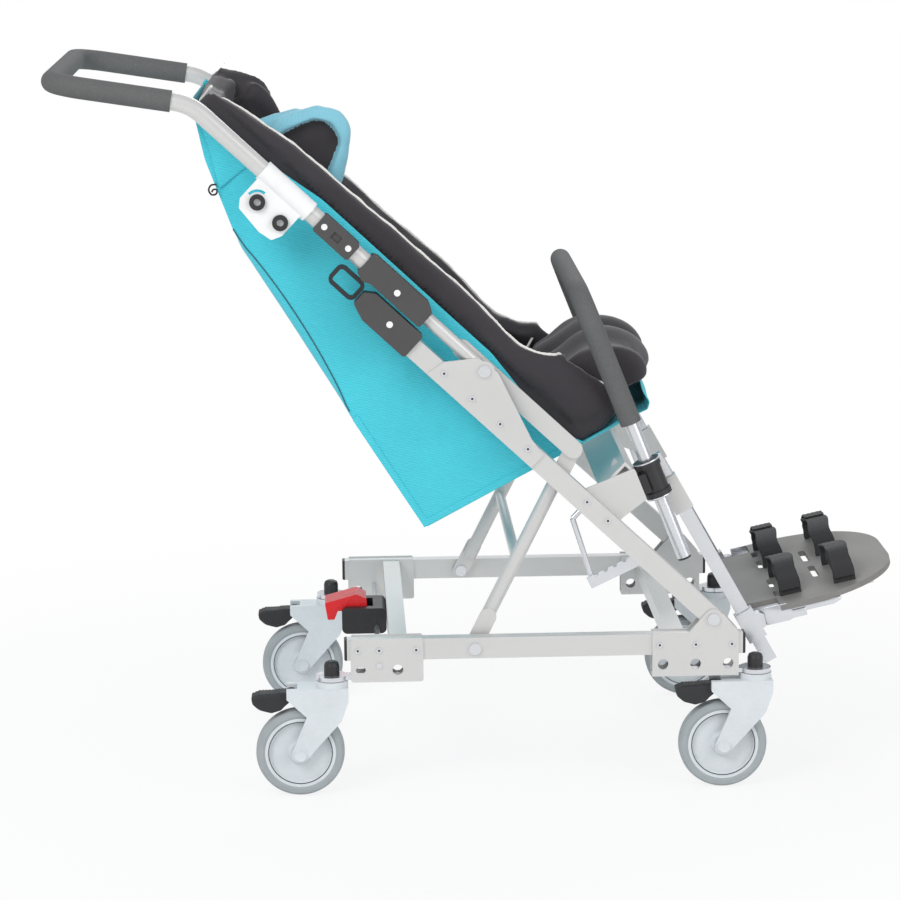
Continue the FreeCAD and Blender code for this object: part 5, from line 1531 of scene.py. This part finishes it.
@dataclass
class Pedals:
    """Rounded rubber brake pedals."""

    cell: float = 0.0016
    plump: float = 1.4
    rib: float = 0.5
    pitch: float = 4.6

    def swell(self, piece: bpy.types.Object) -> None:
        """Fill out a pedal's paddle and raise ribs across its top."""
        x = read_points(piece)[:, 0]
        behind = (x.max() - x) / MM
        top = np.clip(read_normals(piece)[:, 2], 0, 1)
        height = self.plump + self.rib * top * np.sin(2 * math.pi * behind / self.pitch)
        write_points(piece, pushed(piece, ramp(behind, 16, 8) * height))

    def build(self) -> None:
        """Round each pedal's solid."""
        for place in ("rear_right", "rear_left", "front_right", "front_left"):
            piece = node_copy("caster_pedal_" + place, "pedal_pad_" + place)
            remeshed(piece, self.cell, 8)
            self.swell(piece)
            smooth(piece, 80)
            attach(dressed(piece, "pedal_rubber"), "caster_brake_" + place)
            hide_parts("caster_pedal_" + place)


@dataclass
class Studio:
    """Camera, lights, floor and world."""

    place: Triple = (-0.209, -4.532, 1.356)
    yaw: float = 0.0370
    pitch: float = 0.1984
    roll: float = 0.0102
    lens: float = 126.0
    near_white: float = 0.84
    aim: Triple = (0.0, 0.0, 0.5)

    def camera(self) -> None:
        """Camera at the photograph's viewing angle."""
        forward = Vector((math.sin(self.yaw) * math.cos(self.pitch),
                          math.cos(self.yaw) * math.cos(self.pitch), -math.sin(self.pitch)))
        right = Vector((math.cos(self.yaw), -math.sin(self.yaw), 0.0))
        down = forward.cross(right)
        across = right * math.cos(self.roll) + down * math.sin(self.roll)
        drop = down * math.cos(self.roll) - right * math.sin(self.roll)
        data = bpy.data.cameras.new("view")
        data.lens = self.lens
        data.sensor_width = 36.0
        data.clip_end = 60.0
        camera = linked("view", data)
        camera.matrix_world = Matrix(((across.x, -drop.x, -forward.x, self.place[0]),
                                      (across.y, -drop.y, -forward.y, self.place[1]),
                                      (across.z, -drop.z, -forward.z, self.place[2]), (0, 0, 0, 1)))
        bpy.context.scene.camera = camera

    def lamp(self, name: str, place: Triple, size: float, watts: float) -> None:
        """Soft area light.

        Args:
            name: the lamp's name.
            place: where it hangs.
            size: side of its square.
            watts: its power.
        """
        data = bpy.data.lights.new(name, "AREA")
        data.size = size
        data.energy = watts
        lamp = linked(name, data)
        lamp.location = place
        lamp.rotation_euler = (Vector(self.aim) - Vector(place)).to_track_quat("-Z", "Y").to_euler()

    def floor(self) -> None:
        """Pale floor that keeps the object's shadow."""
        deselect()
        bpy.ops.mesh.primitive_plane_add(size=30.0, location=(0, 0, -0.0006))
        floor = bpy.context.object
        floor.name = "floor"
        g = Graph("pale_floor")
        shader = g.value("ShaderNodeBsdfDiffuse", {"Color": (0.86, 0.86, 0.86, 1.0)})
        glow = g.value("ShaderNodeEmission", {"Color": (1.0, 1.0, 1.0, 1.0), "Strength": 1.0})
        path = g.node("ShaderNodeLightPath", {}, {})
        rays = [Value(g, path.outputs["Is %s Ray" % kind]) for kind in ("Camera", "Glossy", "Transmission")]
        seen = rays[0] + rays[1] + rays[2]
        away = g.value("ShaderNodeVectorMath", {0: g.object}, {"operation": "LENGTH"}, "Value")
        share = g.value("ShaderNodeMapRange", {0: away, 1: 0.6, 2: 1.5, 3: self.near_white, 4: 1.0},
                        {"clamp": True})
        mixed = g.value("ShaderNodeMixShader", {0: seen * share, 1: shader, 2: glow})
        floor.data.materials.append(g.closed(mixed))

    def world(self) -> None:
        """Even pale world, white where it is seen."""
        world = bpy.data.worlds.new("studio")
        bpy.context.scene.world = world
        world.use_nodes = True
        tree = world.node_tree
        tree.nodes.clear()
        light = tree.nodes.new("ShaderNodeBackground")
        light.inputs["Color"].default_value = (0.95, 0.97, 1.0, 1.0)
        light.inputs["Strength"].default_value = 0.56
        seen = tree.nodes.new("ShaderNodeBackground")
        seen.inputs["Color"].default_value = (1.0, 1.0, 1.0, 1.0)
        path = tree.nodes.new("ShaderNodeLightPath")
        mixed = tree.nodes.new("ShaderNodeMixShader")
        out = tree.nodes.new("ShaderNodeOutputWorld")
        tree.links.new(path.outputs["Is Camera Ray"], mixed.inputs[0])
        tree.links.new(light.outputs[0], mixed.inputs[1])
        tree.links.new(seen.outputs[0], mixed.inputs[2])
        tree.links.new(mixed.outputs[0], out.inputs[0])

    def build(self) -> None:
        """Set up the whole studio."""
        bpy.context.scene.view_settings.view_transform = "Standard"
        self.camera()
        self.floor()
        self.world()
        self.lamp("key", (-2.4, -3.2, 3.4), 2.4, 98.0)
        self.lamp("fill", (2.8, -2.6, 1.8), 2.6, 40.0)
        self.lamp("rear", (0.4, 3.2, 2.8), 2.4, 40.0)


def dress_nodes() -> None:
    """Give every solid the finish of its slot."""
    for entry in frame["record"]["subparts"]:
        node = frame["nodes"][entry["node"]]
        node.data.materials.clear()
        node.data.materials.append(MATERIALS[PAINTED_NODES.get(entry["node"], entry["material_slot"])])


def main() -> None:
    """Build every piece in order."""
    logging.basicConfig(level=logging.INFO)
    for slot, finish in FINISHES.items():
        MATERIALS[slot] = finish.build()
    Studio().build()
    dress_nodes()
    Seat().build()
    FootStraps().build()
    Fasteners().build()
    BumperTrim().build()
    FootTrim().build()
    Pedals().build()


if __name__ == "__main__":
    main()
